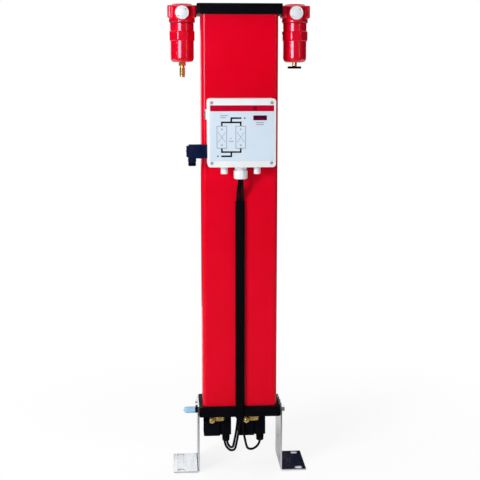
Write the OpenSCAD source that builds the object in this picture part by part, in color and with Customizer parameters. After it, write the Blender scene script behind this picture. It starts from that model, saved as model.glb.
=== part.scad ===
// Desiccant air dryer: a twin-chamber extruded column between two end plates, a filter at each end of
// the top plate, a controller box in front, two exhaust valves below and two leg brackets.
// Millimetres, +Z up, front towards -Y, origin on the floor at the centre of the four foot slots.

/* [Column] */
// Bore radius of each drying chamber
chamber_r = 32; // [24:0.5:40]
// Wall around each chamber
chamber_wall = 5; // [4:0.5:8]
// Distance between the chamber axes
chamber_pitch = 70; // [66:0.5:90]
// Outer skin of the extrusion
skin_t = 4; // [3:0.5:6]
// Length of the extrusion
column_h = 780; // [500:5:1200]
// Radius of the extrusion's outer corners
column_r = 8; // [3:0.5:12]
// Radius of the screw bosses in the extrusion
boss_r = 7; // [6:0.5:9]

/* [End plates] */
// Overhang of the end plates at the left and right ends
plate_over_x = 7.5; // [7:0.5:16]
// Overhang of the end plates at the front and the back
plate_over_y = 8; // [7.5:0.5:14]
// Thickness of each end plate
plate_t = 20; // [18:0.5:30]
// Radius of the end plates' corners
plate_r = 5; // [2:0.5:10]
// Gasket between an end plate and the column
gasket_t = 1; // [0.5:0.1:2]
// Shank radius of the end plate screws
plate_screw_r = 3; // [2.5:0.25:4]
// Depth of the screws in the column
plate_screw_grip = 18; // [10:1:30]

/* [Drying beds] */
// Thickness of each bed screen
screen_t = 3; // [2:0.5:6]
// Height of the hold-down spring
spring_h = 60; // [40:1:90]
// Mean radius of the hold-down spring
spring_r = 22; // [14:0.5:22]
// Wire radius of the hold-down spring
spring_wire_r = 1.6; // [1:0.1:2.5]
// Coils of the hold-down spring
spring_turns = 5; // [3:1:8]

/* [Legs] */
// Height of the bottom plate's underside over the floor
leg_h = 115; // [105:1:160]
// Sheet thickness of the leg brackets
leg_t = 3; // [2:0.5:4]
// Depth of the leg brackets, front to back
leg_d = 104; // [96:1:140]
// Width of each foot
foot_w = 53; // [46:1:70]
// Chamfer of the bracket's upper corners
leg_chamfer = 14; // [4:1:16]
// Inner bend radius of the brackets
leg_bend_r = 2; // [1:0.5:4]
// Width of the foot slots
slot_w = 11; // [7:0.5:13]
// Length of the foot slots
slot_l = 15; // [14:0.5:20]
// Distance of the foot slots from the foot's outer edge
slot_edge = 15; // [14:0.5:22]
// Distance of the foot slots from the foot's front and back edges
slot_end = 10; // [9:0.5:20]
// Height of the upright slot in each bracket
upright_slot_l = 22; // [14:1:30]
// Width of the upright slot in each bracket
upright_slot_w = 6; // [4:0.5:9]
// Shank radius of the bracket screws
leg_screw_r = 3; // [2.5:0.25:3.5]
// Distance of ports and outer screws from the plate's middle
end_port_y = 26; // [20:0.5:28]

/* [Filters] */
// Width of a filter head across its ports
head_w = 57; // [56:1:80]
// Radius of a filter head's round body
head_r = 25; // [24:0.5:30]
// Height of a filter head over the port axis
head_up = 9; // [8.5:0.5:16]
// Depth of a filter head under the port axis
head_down = 24; // [22:0.5:40]
// Depth of the port block, front to back
port_block_d = 34; // [26:1:44]
// Wall radius of the air inlet and outlet threads
port_r = 5.7; // [4:0.1:6.5]
// Depth of the air inlet and outlet threads
port_l = 13; // [10:0.5:16]
// Radius of the top cap of a filter head
cap_r = 19.5; // [12:0.5:22]
// Height of the top cap of a filter head
cap_h = 3; // [1:0.5:8]
// Outer radius of a filter bowl
bowl_r = 23; // [22.5:0.25:24]
// Height of a filter bowl
bowl_h = 75; // [70:1:140]
// Wall of a filter bowl
bowl_wall = 3; // [2.5:0.25:4]
// Rounding at the foot of a bowl
bowl_round = 8; // [4:0.5:12]
// Radius over the grip band's corners
band_r = 25.8; // [25:0.1:28]
// Height of the grip band
band_h = 19; // [10:0.5:26]
// Depth of the grip band's top under the bowl's rim
band_drop = 15; // [14:0.5:24]
// Radius of the round front disc
disc_r = 13; // [8:0.5:14.5]
// Thickness of the round front disc
disc_t = 1; // [0.5:0.1:2]
// Height of the drain's hose tail
tail_h = 19; // [8:0.5:30]
// Radius of the drain's hose tail
tail_r = 5.7; // [5:0.1:8]
// Length of the drain wing across its tips
wing_l = 27; // [16:0.5:34]
// Width of the drain wing
wing_w = 5; // [3:0.5:7]
// Height of the drain wing
wing_h = 5; // [3:0.5:8]

/* [Controller box] */
// Width of the controller box
box_w = 130; // [126:1:160]
// Height of the controller box
box_h = 130; // [126:1:170]
// Depth of the box base
base_d = 38; // [34:1:60]
// Depth of the box cover
cover_d = 20; // [14:0.5:30]
// Wall of the box
box_wall = 3; // [2:0.25:4]
// Radius of the box corners
box_r = 6; // [3:0.5:8]
// Height of the box centre over the column's foot
box_rise = 556; // [200:1:640]
// Gasket between the box base and the cover
box_seal_t = 0.8; // [0.5:0.1:1.5]
// Distance of the cover screws from the box edges
cover_screw_inset = 8; // [7.5:0.25:9]
// Width of the display window
window_w = 26; // [14:0.5:40]
// Height of the display window
window_h = 9; // [5:0.5:16]
// Thickness of the mounting rail
rail_t = 3; // [2:0.5:4]
// Length of the mounting rail
rail_l = 140; // [132:1:148]
// Height of the mounting rail
rail_h = 20; // [16:0.5:30]
// Height of the rail over the box centre
rail_rise = 33; // [20:1:36]

/* [Cable fittings] */
// Radius of the large gland's dome nut
gland_r = 13.5; // [11:0.25:15]
// Length of the large gland's dome nut
gland_nut_h = 17; // [14:0.5:26]
// Radius of the small glands
small_gland_r = 7.2; // [5:0.1:9]
// Distance of the small glands from the large one
small_gland_pitch = 32; // [26:0.5:44]
// Length of the small glands
small_gland_h = 16; // [9:0.5:24]
// Size of the mains plug across its square body
mains_size = 26; // [22:0.5:30]
// Length of the mains plug from its socket
mains_l = 35; // [28:0.5:44]
// Radius of the mains plug's gland
mains_gland_r = 8; // [6:0.25:10]
// Width of the cable sleeve
sleeve_w = 18; // [17.5:0.25:24]
// Wall of the cable sleeve
sleeve_wall = 1.2; // [0.8:0.1:1.4]
// Height of the sleeve's upper end over the column's foot
sleeve_top = 419; // [300:1:440]
// Diameter of the valve leads
lead_d = 4.8; // [3:0.1:4.8]

/* [Exhaust valves] */
// Radius of a valve's brass body
valve_r = 17; // [12:0.5:18]
// Height of a valve's brass body
valve_h = 11; // [8:0.5:14]
// Distance of the valves in front of the chamber axes
valve_front = 24; // [22:0.5:24]
// Offset of the pair of valves to the left of the column's middle
valve_shift = 8.5; // [0:0.5:9]
// Width of a valve coil
coil_w = 33.5; // [31:0.5:37]
// Depth of a valve coil
coil_d = 34; // [30:0.5:34]
// Height of a valve coil
coil_h = 31; // [26:0.5:36]
// Width of a valve plug
valve_plug_w = 22.5; // [20:0.5:24]
// Depth of a valve plug
valve_plug_d = 28; // [22:0.5:30]
// Height of a valve plug
valve_plug_h = 38; // [30:0.5:38]
// Length of a valve plug's gland
valve_gland_h = 16; // [10:0.5:16]
// Radius of a valve plug's gland
valve_gland_r = 8; // [6:0.25:9]
// Radius of the silencer
silencer_r = 6.5; // [5:0.25:9]
// Length of the silencer
silencer_l = 24; // [16:0.5:50]

/* [Hidden] */
$fn = 64;
seat = 0.1;
running = 0.06;
apart = 0.3;
rail_web = 1;
column_w = chamber_pitch + 2 * (chamber_r + chamber_wall + skin_t - rail_web);
column_d = 2 * (chamber_r + chamber_wall + skin_t - rail_web);
boss_x = column_w / 2 - boss_r - 2;
boss_y = column_d / 2 - boss_r - 2;
plate_w = column_w + 2 * plate_over_x;
plate_d = column_d + 2 * plate_over_y;
column_z = leg_h + plate_t + gasket_t;
column_top = column_z + column_h;
top_z = column_top + gasket_t;
boss_hole_r = plate_screw_r + running;
screw_head_r = plate_screw_r + 2;
screw_head_h = 6;
screw_sink = screw_head_h + 0.5;
screen_r = chamber_r - 2 * seat;
bed_z = leg_h + plate_t + screen_t;
bed_top = top_z - spring_h - screen_t;
leg_x = plate_w / 2;
leg_top = leg_h + plate_t;
leg_screw_z = leg_h + plate_t / 2;
slot_x = leg_x + foot_w - slot_edge;
slot_y = leg_d / 2 - slot_end;
end_port_r = 4.6;
end_port_l = 12;
filter_x = plate_w / 2 + head_w / 2;
port_z = top_z + plate_t / 2 - 1;
nipple_r = 4.4;
nipple_in = 14;
nipple_bore = 2.8;
head_z = port_z - head_down;
cavity_r = bowl_r - 2;
bowl_seal_t = 1;
bowl_rim = head_z - bowl_seal_t;
bowl_z = bowl_rim - bowl_h;
bowl_bore = bowl_r - bowl_wall;
neck_h = 9;
neck_r = cavity_r - seat;
boss_front = head_r + 2.5;
disc_z = port_z + head_up - disc_r - 1.5;
drain_bore = 3;
element_r = 14;
element_foot = bowl_z + 16;
wing_hub_r = 4.6;
wing_stem_r = 2.2;
wing_stem_h = 6;
stub_h = 7;
box_z = column_z + box_rise;
box_back = column_d / 2 + rail_t;
base_front = box_back + base_d;
cover_back = base_front + box_seal_t;
box_front = cover_back + cover_d;
cover_post_r = cover_screw_inset - box_wall + 0.5;
cover_screw_x = box_w / 2 - cover_screw_inset;
cover_screw_z = box_h / 2 - cover_screw_inset;
cover_screw_r = 1.5;
cover_screw_l = 30;
window_x = box_w * 0.265;
window_z = box_h * 0.22;
board_w = box_w - 34;
board_h = box_h - 40;
rail_screw_x = board_w / 2 + 4;
rail_screw_r = 2;
gland_y = box_back + base_d * 0.55;
box_foot = box_z - box_h / 2;
gland_collar_h = 9;
gland_collar_r = gland_r - 2;
gland_bore = 6.5;
sleeve_t = plate_over_y;
sleeve_z = leg_h - 3;
sleeve_y = column_d / 2;
notch_w = sleeve_w + 2 * seat;
mains_z = box_z - 37;
mains_y = box_back + base_d / 2;
mains_flange = 5;
mains_gland_x = box_w / 2 + mains_flange + mains_l - mains_gland_r - 3;
coil_left = 30;
plug_x = coil_w - coil_left;
valve_bore = 4;
bleed_af = 10.5;
bleed_h = 6;
bleed_neck_r = 2.9;
bleed_x = 13.5;
bleed_z = 7.8;
spigot_r = 7;
spigot_h = 8;
coil_z = leg_h - valve_h - coil_h;
valve_plug_z = leg_h - 3 - valve_plug_h;
plug_gland_x = plug_x + valve_plug_w / 2 + 1;
plug_gland_z = valve_plug_z - valve_gland_h;
lead_sides = 8;
lead_steps = 2;
plug_lead_gap = 2.6;
lead_pitch = lead_d + apart;

red = [0.86, 0.01, 0.05];
black = [0.04, 0.04, 0.045];
zinc = [0.78, 0.81, 0.83];
brass = [0.78, 0.6, 0.28];
white = [0.92, 0.93, 0.95];
pale_blue = [0.62, 0.76, 0.86];
rubber = [0.07, 0.07, 0.07];
dark_plastic = [0.06, 0.06, 0.08];
bead = [0.88, 0.87, 0.83];
steel = [0.6, 0.61, 0.63];

// Rectangle with rounded corners, centred.
module rounded(w, h, r) {
  square([w - 2 * r, h], center = true);
  square([w, h - 2 * r], center = true);
  for (x = [-1, 1], y = [-1, 1])
    translate([x * (w / 2 - r), y * (h / 2 - r)])
      circle(r);
}

// Straight slot with round ends, centred, along X.
module slot(l, w) {
  square([l - w, w], center = true);
  for (x = [-1, 1])
    translate([x * (l - w) / 2, 0])
      circle(w / 2);
}

// Solid with a rounded front outline, standing from one depth to another in front of the column.
module fronted(w, h, r, near, far) {
  translate([0, -near, 0])
    rotate([90, 0, 0])
      linear_extrude(far - near)
        rounded(w, h, r);
}

// Cylinder towards the front, standing from one depth to another.
module front_pin(r, near, far) {
  translate([0, -near, 0])
    rotate([90, 0, 0])
      cylinder(r = r, h = far - near);
}

// Cylinder towards +X, standing from one place to another.
module side_pin(r, near, far) {
  translate([near, 0, 0])
    rotate([0, 90, 0])
      cylinder(r = r, h = far - near);
}

// Hexagonal bar towards +X, by its width across flats.
module side_hex(flats, near, far) {
  translate([near, 0, 0])
    rotate([0, 90, 0])
      cylinder(d = flats / cos(30), h = far - near, $fn = 6);
}

module at_bosses() {
  for (x = [-1, 0, 1], y = [-1, 1])
    translate([x * boss_x, y * boss_y, 0])
      children();
}

function valve_x(side) = side * chamber_pitch / 2 - valve_shift;

module at_chambers() {
  for (x = [-1, 1])
    translate([x * chamber_pitch / 2, 0, 0])
      children();
}

module column_section() {
  difference() {
    union() {
      difference() {
        rounded(column_w, column_d, column_r);
        rounded(column_w - 2 * skin_t, column_d - 2 * skin_t, column_r - skin_t / 2);
      }
      at_chambers()
        circle(chamber_r + chamber_wall);
      at_bosses()
        circle(boss_r);
    }
    at_chambers()
      circle(chamber_r);
    at_bosses()
      circle(boss_hole_r);
  }
}

module column() {
  color(red)
    difference() {
      translate([0, 0, column_z])
        linear_extrude(column_h)
          column_section();
      for (x = [-1, 1])
        translate([x * rail_screw_x, 0, box_z + rail_rise])
          front_pin(rail_screw_r + running, column_d / 2 - 3.6, column_d / 2 + 1);
    }
}

module plate_blank(z) {
  translate([0, 0, z])
    linear_extrude(plate_t)
      rounded(plate_w, plate_d, plate_r);
}

module top_plate() {
  color(black)
    difference() {
      plate_blank(top_z);
      at_bosses() {
        translate([0, 0, top_z - 1])
          cylinder(r = plate_screw_r + seat, h = plate_t + 2);
        translate([0, 0, top_z + plate_t - screw_sink])
          cylinder(r = screw_head_r + seat, h = screw_sink + 1);
      }
      for (x = [-1, 1])
        translate([0, 0, port_z]) {
          mirror([x > 0 ? 0 : 1, 0, 0])
            side_pin(nipple_r + seat, plate_w / 2 - nipple_in, plate_w / 2 + 1);
          mirror([x > 0 ? 0 : 1, 0, 0])
            side_pin(nipple_bore, chamber_pitch / 2, plate_w / 2);
        }
      at_chambers()
        translate([0, 0, top_z - 1])
          cylinder(r = nipple_bore, h = port_z - top_z + 1);
    }
}

module bottom_plate() {
  color(black)
    difference() {
      plate_blank(leg_h);
      at_bosses() {
        translate([0, 0, leg_h - 1])
          cylinder(r = plate_screw_r + seat, h = plate_t + 2);
        translate([0, 0, leg_h - 1])
          cylinder(r = screw_head_r + seat, h = screw_sink + 1);
      }
      for (side = [-1, 1])
        translate([valve_x(side), -valve_front, leg_h - 1]) {
          cylinder(r = spigot_r + seat, h = spigot_h + 1 + seat);
          cylinder(r = valve_bore, h = plate_t + 2);
        }
      for (x = [0, 1])
        mirror([x, 0, 0])
          translate([0, 0, leg_screw_z]) {
            translate([0, -end_port_y, 0])
              side_pin(end_port_r, leg_x - end_port_l, leg_x + 1);
            for (y = [0, end_port_y])
              translate([0, y, 0])
                side_pin(leg_screw_r + running, leg_x - end_port_l, leg_x + 1);
          }
      translate([-notch_w / 2, -plate_d / 2 - 1, leg_h - 1])
        cube([notch_w, plate_over_y + 1, plate_t + 2]);
    }
}

module gasket(z) {
  translate([0, 0, z])
    linear_extrude(gasket_t)
      difference() {
        rounded(column_w, column_d, column_r);
        at_chambers()
          circle(chamber_r);
        at_bosses()
          circle(plate_screw_r + seat);
      }
}

module top_gasket() {
  color(rubber)
    gasket(column_top);
}

module bottom_gasket() {
  color(rubber)
    gasket(leg_h + plate_t);
}

// Socket head screw, head up, its head's underside at the origin.
module socket_screw(grip) {
  difference() {
    union() {
      cylinder(r = screw_head_r, h = screw_head_h);
      translate([0, 0, -grip])
        cylinder(r = plate_screw_r, h = grip + 1);
    }
    translate([0, 0, screw_head_h - 3])
      cylinder(r = plate_screw_r * 0.95, h = 4, $fn = 6);
  }
}

module plate_screws() {
  grip = plate_t - screw_sink + gasket_t + plate_screw_grip;
  color(steel)
    at_bosses() {
      translate([0, 0, top_z + plate_t - screw_sink])
        socket_screw(grip);
      translate([0, 0, leg_h + screw_sink])
        mirror([0, 0, 1])
          socket_screw(grip);
    }
}

module bed(side) {
  translate([side * chamber_pitch / 2, 0, bed_z])
    cylinder(r = screen_r, h = bed_top - bed_z);
}

module bed_left() {
  color(bead)
    bed(-1);
}

module bed_right() {
  color(bead)
    bed(1);
}

// Perforated disc that holds the beads.
module screen(side, z) {
  hole_r = 2;
  ring = [8, 16, 24];
  translate([side * chamber_pitch / 2, 0, z])
    difference() {
      cylinder(r = screen_r, h = screen_t);
      for (r = ring, a = [0 : 360 / (r / 2) : 359])
        rotate([0, 0, a])
          translate([r * screen_r / 32, 0, -1])
            cylinder(r = hole_r, h = screen_t + 2);
    }
}

module lower_screen_left() {
  color(steel)
    screen(-1, leg_h + plate_t);
}

module lower_screen_right() {
  color(steel)
    screen(1, leg_h + plate_t);
}

module upper_screen_left() {
  color(steel)
    screen(-1, bed_top);
}

module upper_screen_right() {
  color(steel)
    screen(1, bed_top);
}

function spring_point(i, n, h) = let (a = 360 * spring_turns * i / n)
  [spring_r * cos(a), spring_r * sin(a), spring_wire_r + seat / 2 + (h - 2 * spring_wire_r - seat) * i / n];

function ring_points(p, u, v, r, sides) =
  [for (k = [0 : sides - 1]) p + r * (cos(360 * k / sides) * u + sin(360 * k / sides) * v)];

function tube_faces(rings, sides) = concat(
  [[for (k = [0 : sides - 1]) k]],
  [for (i = [0 : rings - 2], k = [0 : sides - 1])
    [i * sides + k, (i + 1) * sides + k, (i + 1) * sides + (k + 1) % sides, i * sides + (k + 1) % sides]],
  [[for (k = [sides - 1 : -1 : 0]) (rings - 1) * sides + k]]
);

module bed_spring(side) {
  n = spring_turns * 14;
  sides = 6;
  points = [for (i = [0 : n])
    let (a = 360 * spring_turns * i / n)
      each ring_points(spring_point(i, n, spring_h), [cos(a), sin(a), 0], [0, 0, 1], spring_wire_r, sides)];
  translate([side * chamber_pitch / 2, 0, bed_top + screen_t])
    polyhedron(points, tube_faces(n + 1, sides));
}

module bed_spring_left() {
  color(steel)
    bed_spring(-1);
}

module bed_spring_right() {
  color(steel)
    bed_spring(1);
}

// Bent sheet bracket at the right end, its upright against the end plate.
module leg() {
  bend_out = leg_bend_r + leg_t;
  difference() {
    intersection() {
      translate([0, leg_d / 2, 0])
        rotate([90, 0, 0])
          linear_extrude(leg_d) {
            translate([leg_x, bend_out])
              square([leg_t, leg_top - bend_out]);
            translate([leg_x + bend_out, 0])
              square([foot_w - bend_out, leg_t]);
            translate([leg_x + bend_out, bend_out])
              intersection() {
                difference() {
                  circle(bend_out);
                  circle(leg_bend_r);
                }
                translate([-bend_out, -bend_out])
                  square(bend_out);
              }
          }
      translate([leg_x - 1, 0, 0])
        rotate([90, 0, 90])
          linear_extrude(foot_w + 2)
            polygon([
              [-leg_d / 2, 0], [leg_d / 2, 0], [leg_d / 2, leg_top - leg_chamfer],
              [leg_d / 2 - leg_chamfer, leg_top], [leg_chamfer - leg_d / 2, leg_top],
              [-leg_d / 2, leg_top - leg_chamfer]
            ]);
    }
    for (y = [-1, 1])
      translate([slot_x, y * slot_y, -1])
        linear_extrude(leg_t + 2)
          slot(slot_l, slot_w);
    translate([leg_x - 1, 0, leg_h - 50])
      rotate([90, 90, 90])
        linear_extrude(leg_t + 2)
          slot(upright_slot_l, upright_slot_w);
    translate([0, 0, leg_screw_z]) {
      translate([0, -end_port_y, 0])
        side_pin(end_port_r + 3, leg_x - 1, leg_x + leg_t + 1);
      for (y = [0, end_port_y])
        translate([0, y, 0])
          side_pin(leg_screw_r + seat, leg_x - 1, leg_x + leg_t + 1);
    }
  }
}

module leg_left() {
  color(zinc)
    mirror([1, 0, 0])
      leg();
}

module leg_right() {
  color(zinc)
    leg();
}

module leg_screws() {
  head_h = 4;
  color(steel)
    for (x = [0, 1], y = [0, end_port_y])
      mirror([x, 0, 0])
        translate([0, y, leg_screw_z]) {
          side_hex(leg_screw_r * 10 / 3, leg_x + leg_t, leg_x + leg_t + head_h);
          side_pin(leg_screw_r, leg_x - end_port_l + 1, leg_x + leg_t + 1);
        }
}

module port_plug() {
  color(zinc)
    translate([0, -end_port_y, leg_screw_z]) {
      side_hex(13, leg_x + leg_t + apart, leg_x + leg_t + 7);
      side_pin(end_port_r - running, leg_x - end_port_l + 2, leg_x + leg_t + 1);
      side_pin(end_port_r + 2, leg_x, leg_x + leg_t + 1);
    }
}

module silencer_nipple() {
  color(zinc)
    mirror([1, 0, 0])
      translate([0, -end_port_y, leg_screw_z])
        difference() {
          union() {
            side_hex(12, leg_x + leg_t + apart, leg_x + leg_t + 5);
            side_pin(end_port_r - running, leg_x - end_port_l + 2, leg_x + leg_t + 1);
            side_pin(end_port_r + 2, leg_x, leg_x + leg_t + 1);
          }
          side_pin(2.5, leg_x - end_port_l, leg_x + leg_t + 6);
        }
}

module silencer() {
  color(pale_blue)
    mirror([1, 0, 0])
      translate([leg_x + leg_t + 5, -end_port_y, leg_screw_z])
        rotate([0, 90, 0])
          difference() {
            union() {
              cylinder(r = silencer_r, h = silencer_l - silencer_r);
              translate([0, 0, silencer_l - silencer_r])
                sphere(silencer_r);
            }
            translate([0, 0, -1])
              cylinder(r = silencer_r - 2.5, h = silencer_l - silencer_r);
          }
}

// Threaded tube between the top plate and a filter head, at the right end.
module nipple() {
  translate([0, 0, port_z])
    difference() {
      side_pin(nipple_r, plate_w / 2 - nipple_in + seat, plate_w / 2 + nipple_in - 3);
      side_pin(nipple_bore, plate_w / 2 - nipple_in - 1, plate_w / 2 + nipple_in);
    }
}

module prefilter_nipple() {
  color(steel)
    mirror([1, 0, 0])
      nipple();
}

module afterfilter_nipple() {
  color(steel)
    nipple();
}

// Cast filter head at the right end: round body, port block, front boss and top cap.
module head() {
  difference() {
    union() {
      translate([filter_x, 0, head_z])
        cylinder(r = head_r, h = head_down + head_up);
      translate([filter_x, 0, port_z - head_up - 6])
        linear_extrude(2 * head_up + 6)
          rounded(head_w, port_block_d, 5);
      translate([filter_x, 0, disc_z])
        front_pin(disc_r + 1.5, 0, boss_front);
      translate([filter_x, 0, port_z + head_up])
        cylinder(r = cap_r, h = cap_h);
      translate([filter_x, 0, head_z])
        cylinder(r = head_r + 0.5, h = 5);
    }
    translate([filter_x, 0, head_z - 1])
      cylinder(r = cavity_r, h = neck_h + 3);
    translate([filter_x, 0, head_z - 1])
      cylinder(r = element_r + 1, h = head_down + 4);
    translate([0, 0, port_z]) {
      side_pin(nipple_r + seat, plate_w / 2 - 1, plate_w / 2 + nipple_in);
      side_pin(port_r, filter_x + head_w / 2 - port_l, filter_x + head_w / 2 + 1);
      side_pin(nipple_bore + 1, filter_x, filter_x + head_w / 2);
    }
    translate([filter_x, 0, disc_z])
      front_pin(disc_r + seat, boss_front - disc_t, boss_front + 1);
  }
}

module prefilter_head() {
  color(red)
    mirror([1, 0, 0])
      head();
}

module afterfilter_head() {
  color(red)
    head();
}

module bowl_seal() {
  translate([filter_x, 0, bowl_rim])
    difference() {
      cylinder(r = bowl_r, h = bowl_seal_t);
      translate([0, 0, -1])
        cylinder(r = cavity_r, h = bowl_seal_t + 2);
    }
}

module prefilter_seal() {
  color(rubber)
    mirror([1, 0, 0])
      bowl_seal();
}

module afterfilter_seal() {
  color(rubber)
    bowl_seal();
}

// Filter cartridge: upper cap in the head, media, lower cap.
module element() {
  cap_t = 4;
  top = head_z + head_down - cap_t;
  translate([filter_x, 0, 0]) {
    translate([0, 0, element_foot])
      cylinder(r = element_r + 0.5, h = cap_t);
    translate([0, 0, element_foot + cap_t])
      cylinder(r = element_r - 1.5, h = top - element_foot - 2 * cap_t);
    translate([0, 0, top - cap_t - 8])
      cylinder(r = element_r + 1 - seat, h = cap_t);
  }
}

module prefilter_element() {
  color(white)
    mirror([1, 0, 0])
      element();
}

module afterfilter_element() {
  color(white)
    element();
}

// Filter bowl: rounded foot, octagonal grip band, neck inside the head.
module bowl() {
  translate([filter_x, 0, bowl_z])
    difference() {
      union() {
        rotate_extrude() {
          square([bowl_r - bowl_round, bowl_h]);
          translate([0, bowl_round])
            square([bowl_r, bowl_h - bowl_round]);
          translate([bowl_r - bowl_round, bowl_round])
            circle(bowl_round);
        }
        intersection() {
          translate([0, 0, bowl_h - band_drop - band_h])
            rotate([0, 0, 22.5])
              cylinder(r = (bowl_r + 1.5) / cos(22.5), h = band_h, $fn = 8);
          cylinder(r = band_r, h = bowl_h);
        }
        cylinder(r = neck_r, h = bowl_h + bowl_seal_t + neck_h);
      }
      translate([0, 0, bowl_wall + 3])
        cylinder(r = bowl_bore - 3, h = bowl_h + neck_h + 2);
      translate([0, 0, bowl_round + 4])
        cylinder(r = bowl_bore - 1.5, h = bowl_h + neck_h + 2);
      translate([0, 0, -1])
        cylinder(r = drain_bore + seat, h = bowl_wall + 6);
    }
}

module prefilter_bowl() {
  color(red)
    mirror([1, 0, 0])
      bowl();
}

module afterfilter_bowl() {
  color(red)
    bowl();
}

module disc() {
  translate([filter_x, 0, disc_z])
    front_pin(disc_r, boss_front - disc_t, boss_front + 0.2);
}

module prefilter_disc() {
  color(white)
    mirror([1, 0, 0])
      disc();
}

module afterfilter_disc() {
  color(white)
    disc();
}

// Automatic drain: stem in the bowl, hexagon, waist and hose tail.
module prefilter_drain() {
  hex_h = 7;
  waist_h = 3;
  color(brass)
    translate([-filter_x, 0, bowl_z])
      difference() {
        union() {
          cylinder(r = drain_bore, h = bowl_wall + 4);
          translate([0, 0, -hex_h])
            cylinder(d = 14 / cos(30), h = hex_h, $fn = 6);
          translate([0, 0, -hex_h - waist_h])
            cylinder(r = 4.4, h = waist_h + 1);
          translate([0, 0, -hex_h - waist_h - tail_h]) {
            cylinder(r = tail_r - 0.6, h = tail_h);
            for (z = [0.2, 0.45, 0.7])
              translate([0, 0, tail_h * z])
                cylinder(r1 = tail_r - 0.7, r2 = tail_r, h = tail_h * 0.2);
          }
        }
        translate([0, 0, -hex_h - waist_h - tail_h - 1])
          cylinder(r = 2, h = hex_h + waist_h + tail_h + bowl_wall + 8);
      }
}

// Hand drain: stem in the bowl and a round stub with a socket for the wing.
module afterfilter_drain() {
  color(brass)
    translate([filter_x, 0, bowl_z])
      difference() {
        union() {
          cylinder(r = drain_bore, h = bowl_wall + 4);
          translate([0, 0, -stub_h])
            cylinder(r = wing_hub_r, h = stub_h);
        }
        translate([0, 0, -stub_h - 1])
          cylinder(r = wing_stem_r + running, h = wing_stem_h + 1 + apart);
      }
}

// Wing of the hand drain, turning about the filter's axis.
module drain_wing() {
  color(dark_plastic)
    translate([filter_x, 0, bowl_z - stub_h - apart]) {
      translate([0, 0, -wing_h])
        cylinder(r = wing_hub_r, h = wing_h);
      translate([0, 0, -1])
        cylinder(r = wing_stem_r, h = wing_stem_h + 1);
      translate([0, 0, -wing_h])
        linear_extrude(wing_h - 0.5)
          slot(wing_l, wing_w);
    }
}

module box_rail() {
  color(zinc)
    translate([0, 0, box_z + rail_rise])
      difference() {
        fronted(rail_l, rail_h, 2, column_d / 2, box_back);
        for (x = [-1, 1])
          translate([x * rail_screw_x, 0, 0])
            front_pin(rail_screw_r + seat, column_d / 2 - 1, box_back + 1);
      }
}

module rail_screws() {
  color(steel)
    for (x = [-1, 1])
      translate([x * rail_screw_x, 0, box_z + rail_rise]) {
        front_pin(rail_screw_r, column_d / 2 - 3.5, box_back + box_wall + 1);
        front_pin(rail_screw_r + 2, box_back + box_wall, box_back + box_wall + 2.5);
      }
}

module at_cover_screws() {
  for (x = [-1, 1], z = [-1, 1])
    translate([x * cover_screw_x, 0, z * cover_screw_z])
      children();
}

module at_board_posts() {
  for (x = [-1, 1], z = [-1, 1])
    translate([x * (board_w / 2 - 6), 0, z * (board_h / 2 - 6)])
      children();
}

// Box base: a tub with screw posts, board posts, gland holes and the mains opening.
module box_base() {
  color(white)
    translate([0, 0, box_z])
      difference() {
        union() {
          difference() {
            fronted(box_w, box_h, box_r, box_back, base_front);
            fronted(box_w - 2 * box_wall, box_h - 2 * box_wall, box_r - 1.5, box_back + box_wall, base_front + 1);
          }
          at_cover_screws()
            front_pin(cover_post_r, box_back + 1, base_front);
          at_board_posts()
            front_pin(3, box_back + 1, box_back + box_wall + 9);
        }
        at_cover_screws()
          front_pin(cover_screw_r + running, base_front - cover_screw_l, base_front + 1);
        translate([0, 0, rail_rise])
          for (x = [-1, 1])
            translate([x * rail_screw_x, 0, 0])
              front_pin(rail_screw_r + seat, box_back - 1, box_back + box_wall + 1);
        translate([0, -gland_y, -box_h / 2 - 1]) {
          cylinder(r = gland_collar_r - 2 + seat, h = box_wall + 2);
          for (x = [-1, 1])
            translate([x * small_gland_pitch, 0, 0])
              cylinder(r = small_gland_r - 2 + seat, h = box_wall + 2);
        }
        translate([0, -mains_y, mains_z - box_z])
          side_pin(8 + seat, -box_w / 2 - 1, -box_w / 2 + box_wall + 1);
      }
}

module box_seal() {
  rim = 0.8;
  color(rubber)
    translate([0, 0, box_z])
      difference() {
        fronted(box_w - 2 * rim, box_h - 2 * rim, box_r - rim, base_front, cover_back);
        fronted(box_w - 2 * box_wall, box_h - 2 * box_wall, box_r - 1.5, base_front - 1, cover_back + 1);
        at_cover_screws()
          front_pin(cover_post_r, base_front - 1, cover_back + 1);
      }
}

// Box cover: a shallow tray with sunk screw seats and the display opening.
module box_cover() {
  head_sink = 2;
  color(white)
    translate([0, 0, box_z])
      difference() {
        union() {
          difference() {
            fronted(box_w, box_h, box_r, cover_back, box_front);
            fronted(box_w - 2 * box_wall, box_h - 2 * box_wall, box_r - 1.5, cover_back - 1, box_front - box_wall);
          }
          at_cover_screws()
            front_pin(cover_post_r, cover_back, box_front - 1);
        }
        at_cover_screws() {
          front_pin(cover_screw_r + seat, cover_back - 1, box_front + 1);
          front_pin(3 + seat, box_front - head_sink, box_front + 1);
        }
        translate([window_x, 0, window_z])
          fronted(window_w + 2 * seat, window_h + 2 * seat, 1, box_front - box_wall - 1, box_front + 1);
      }
}

module cover_screws() {
  head_h = 1.8;
  color(zinc)
    translate([0, 0, box_z])
      at_cover_screws()
        difference() {
          union() {
            front_pin(cover_screw_r, base_front - cover_screw_l + 2, box_front - 1);
            front_pin(3, box_front - 2, box_front - 2 + head_h);
          }
          translate([-3.5, -box_front - 1, -0.4])
            cube([7, 2, 0.8]);
        }
}

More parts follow.
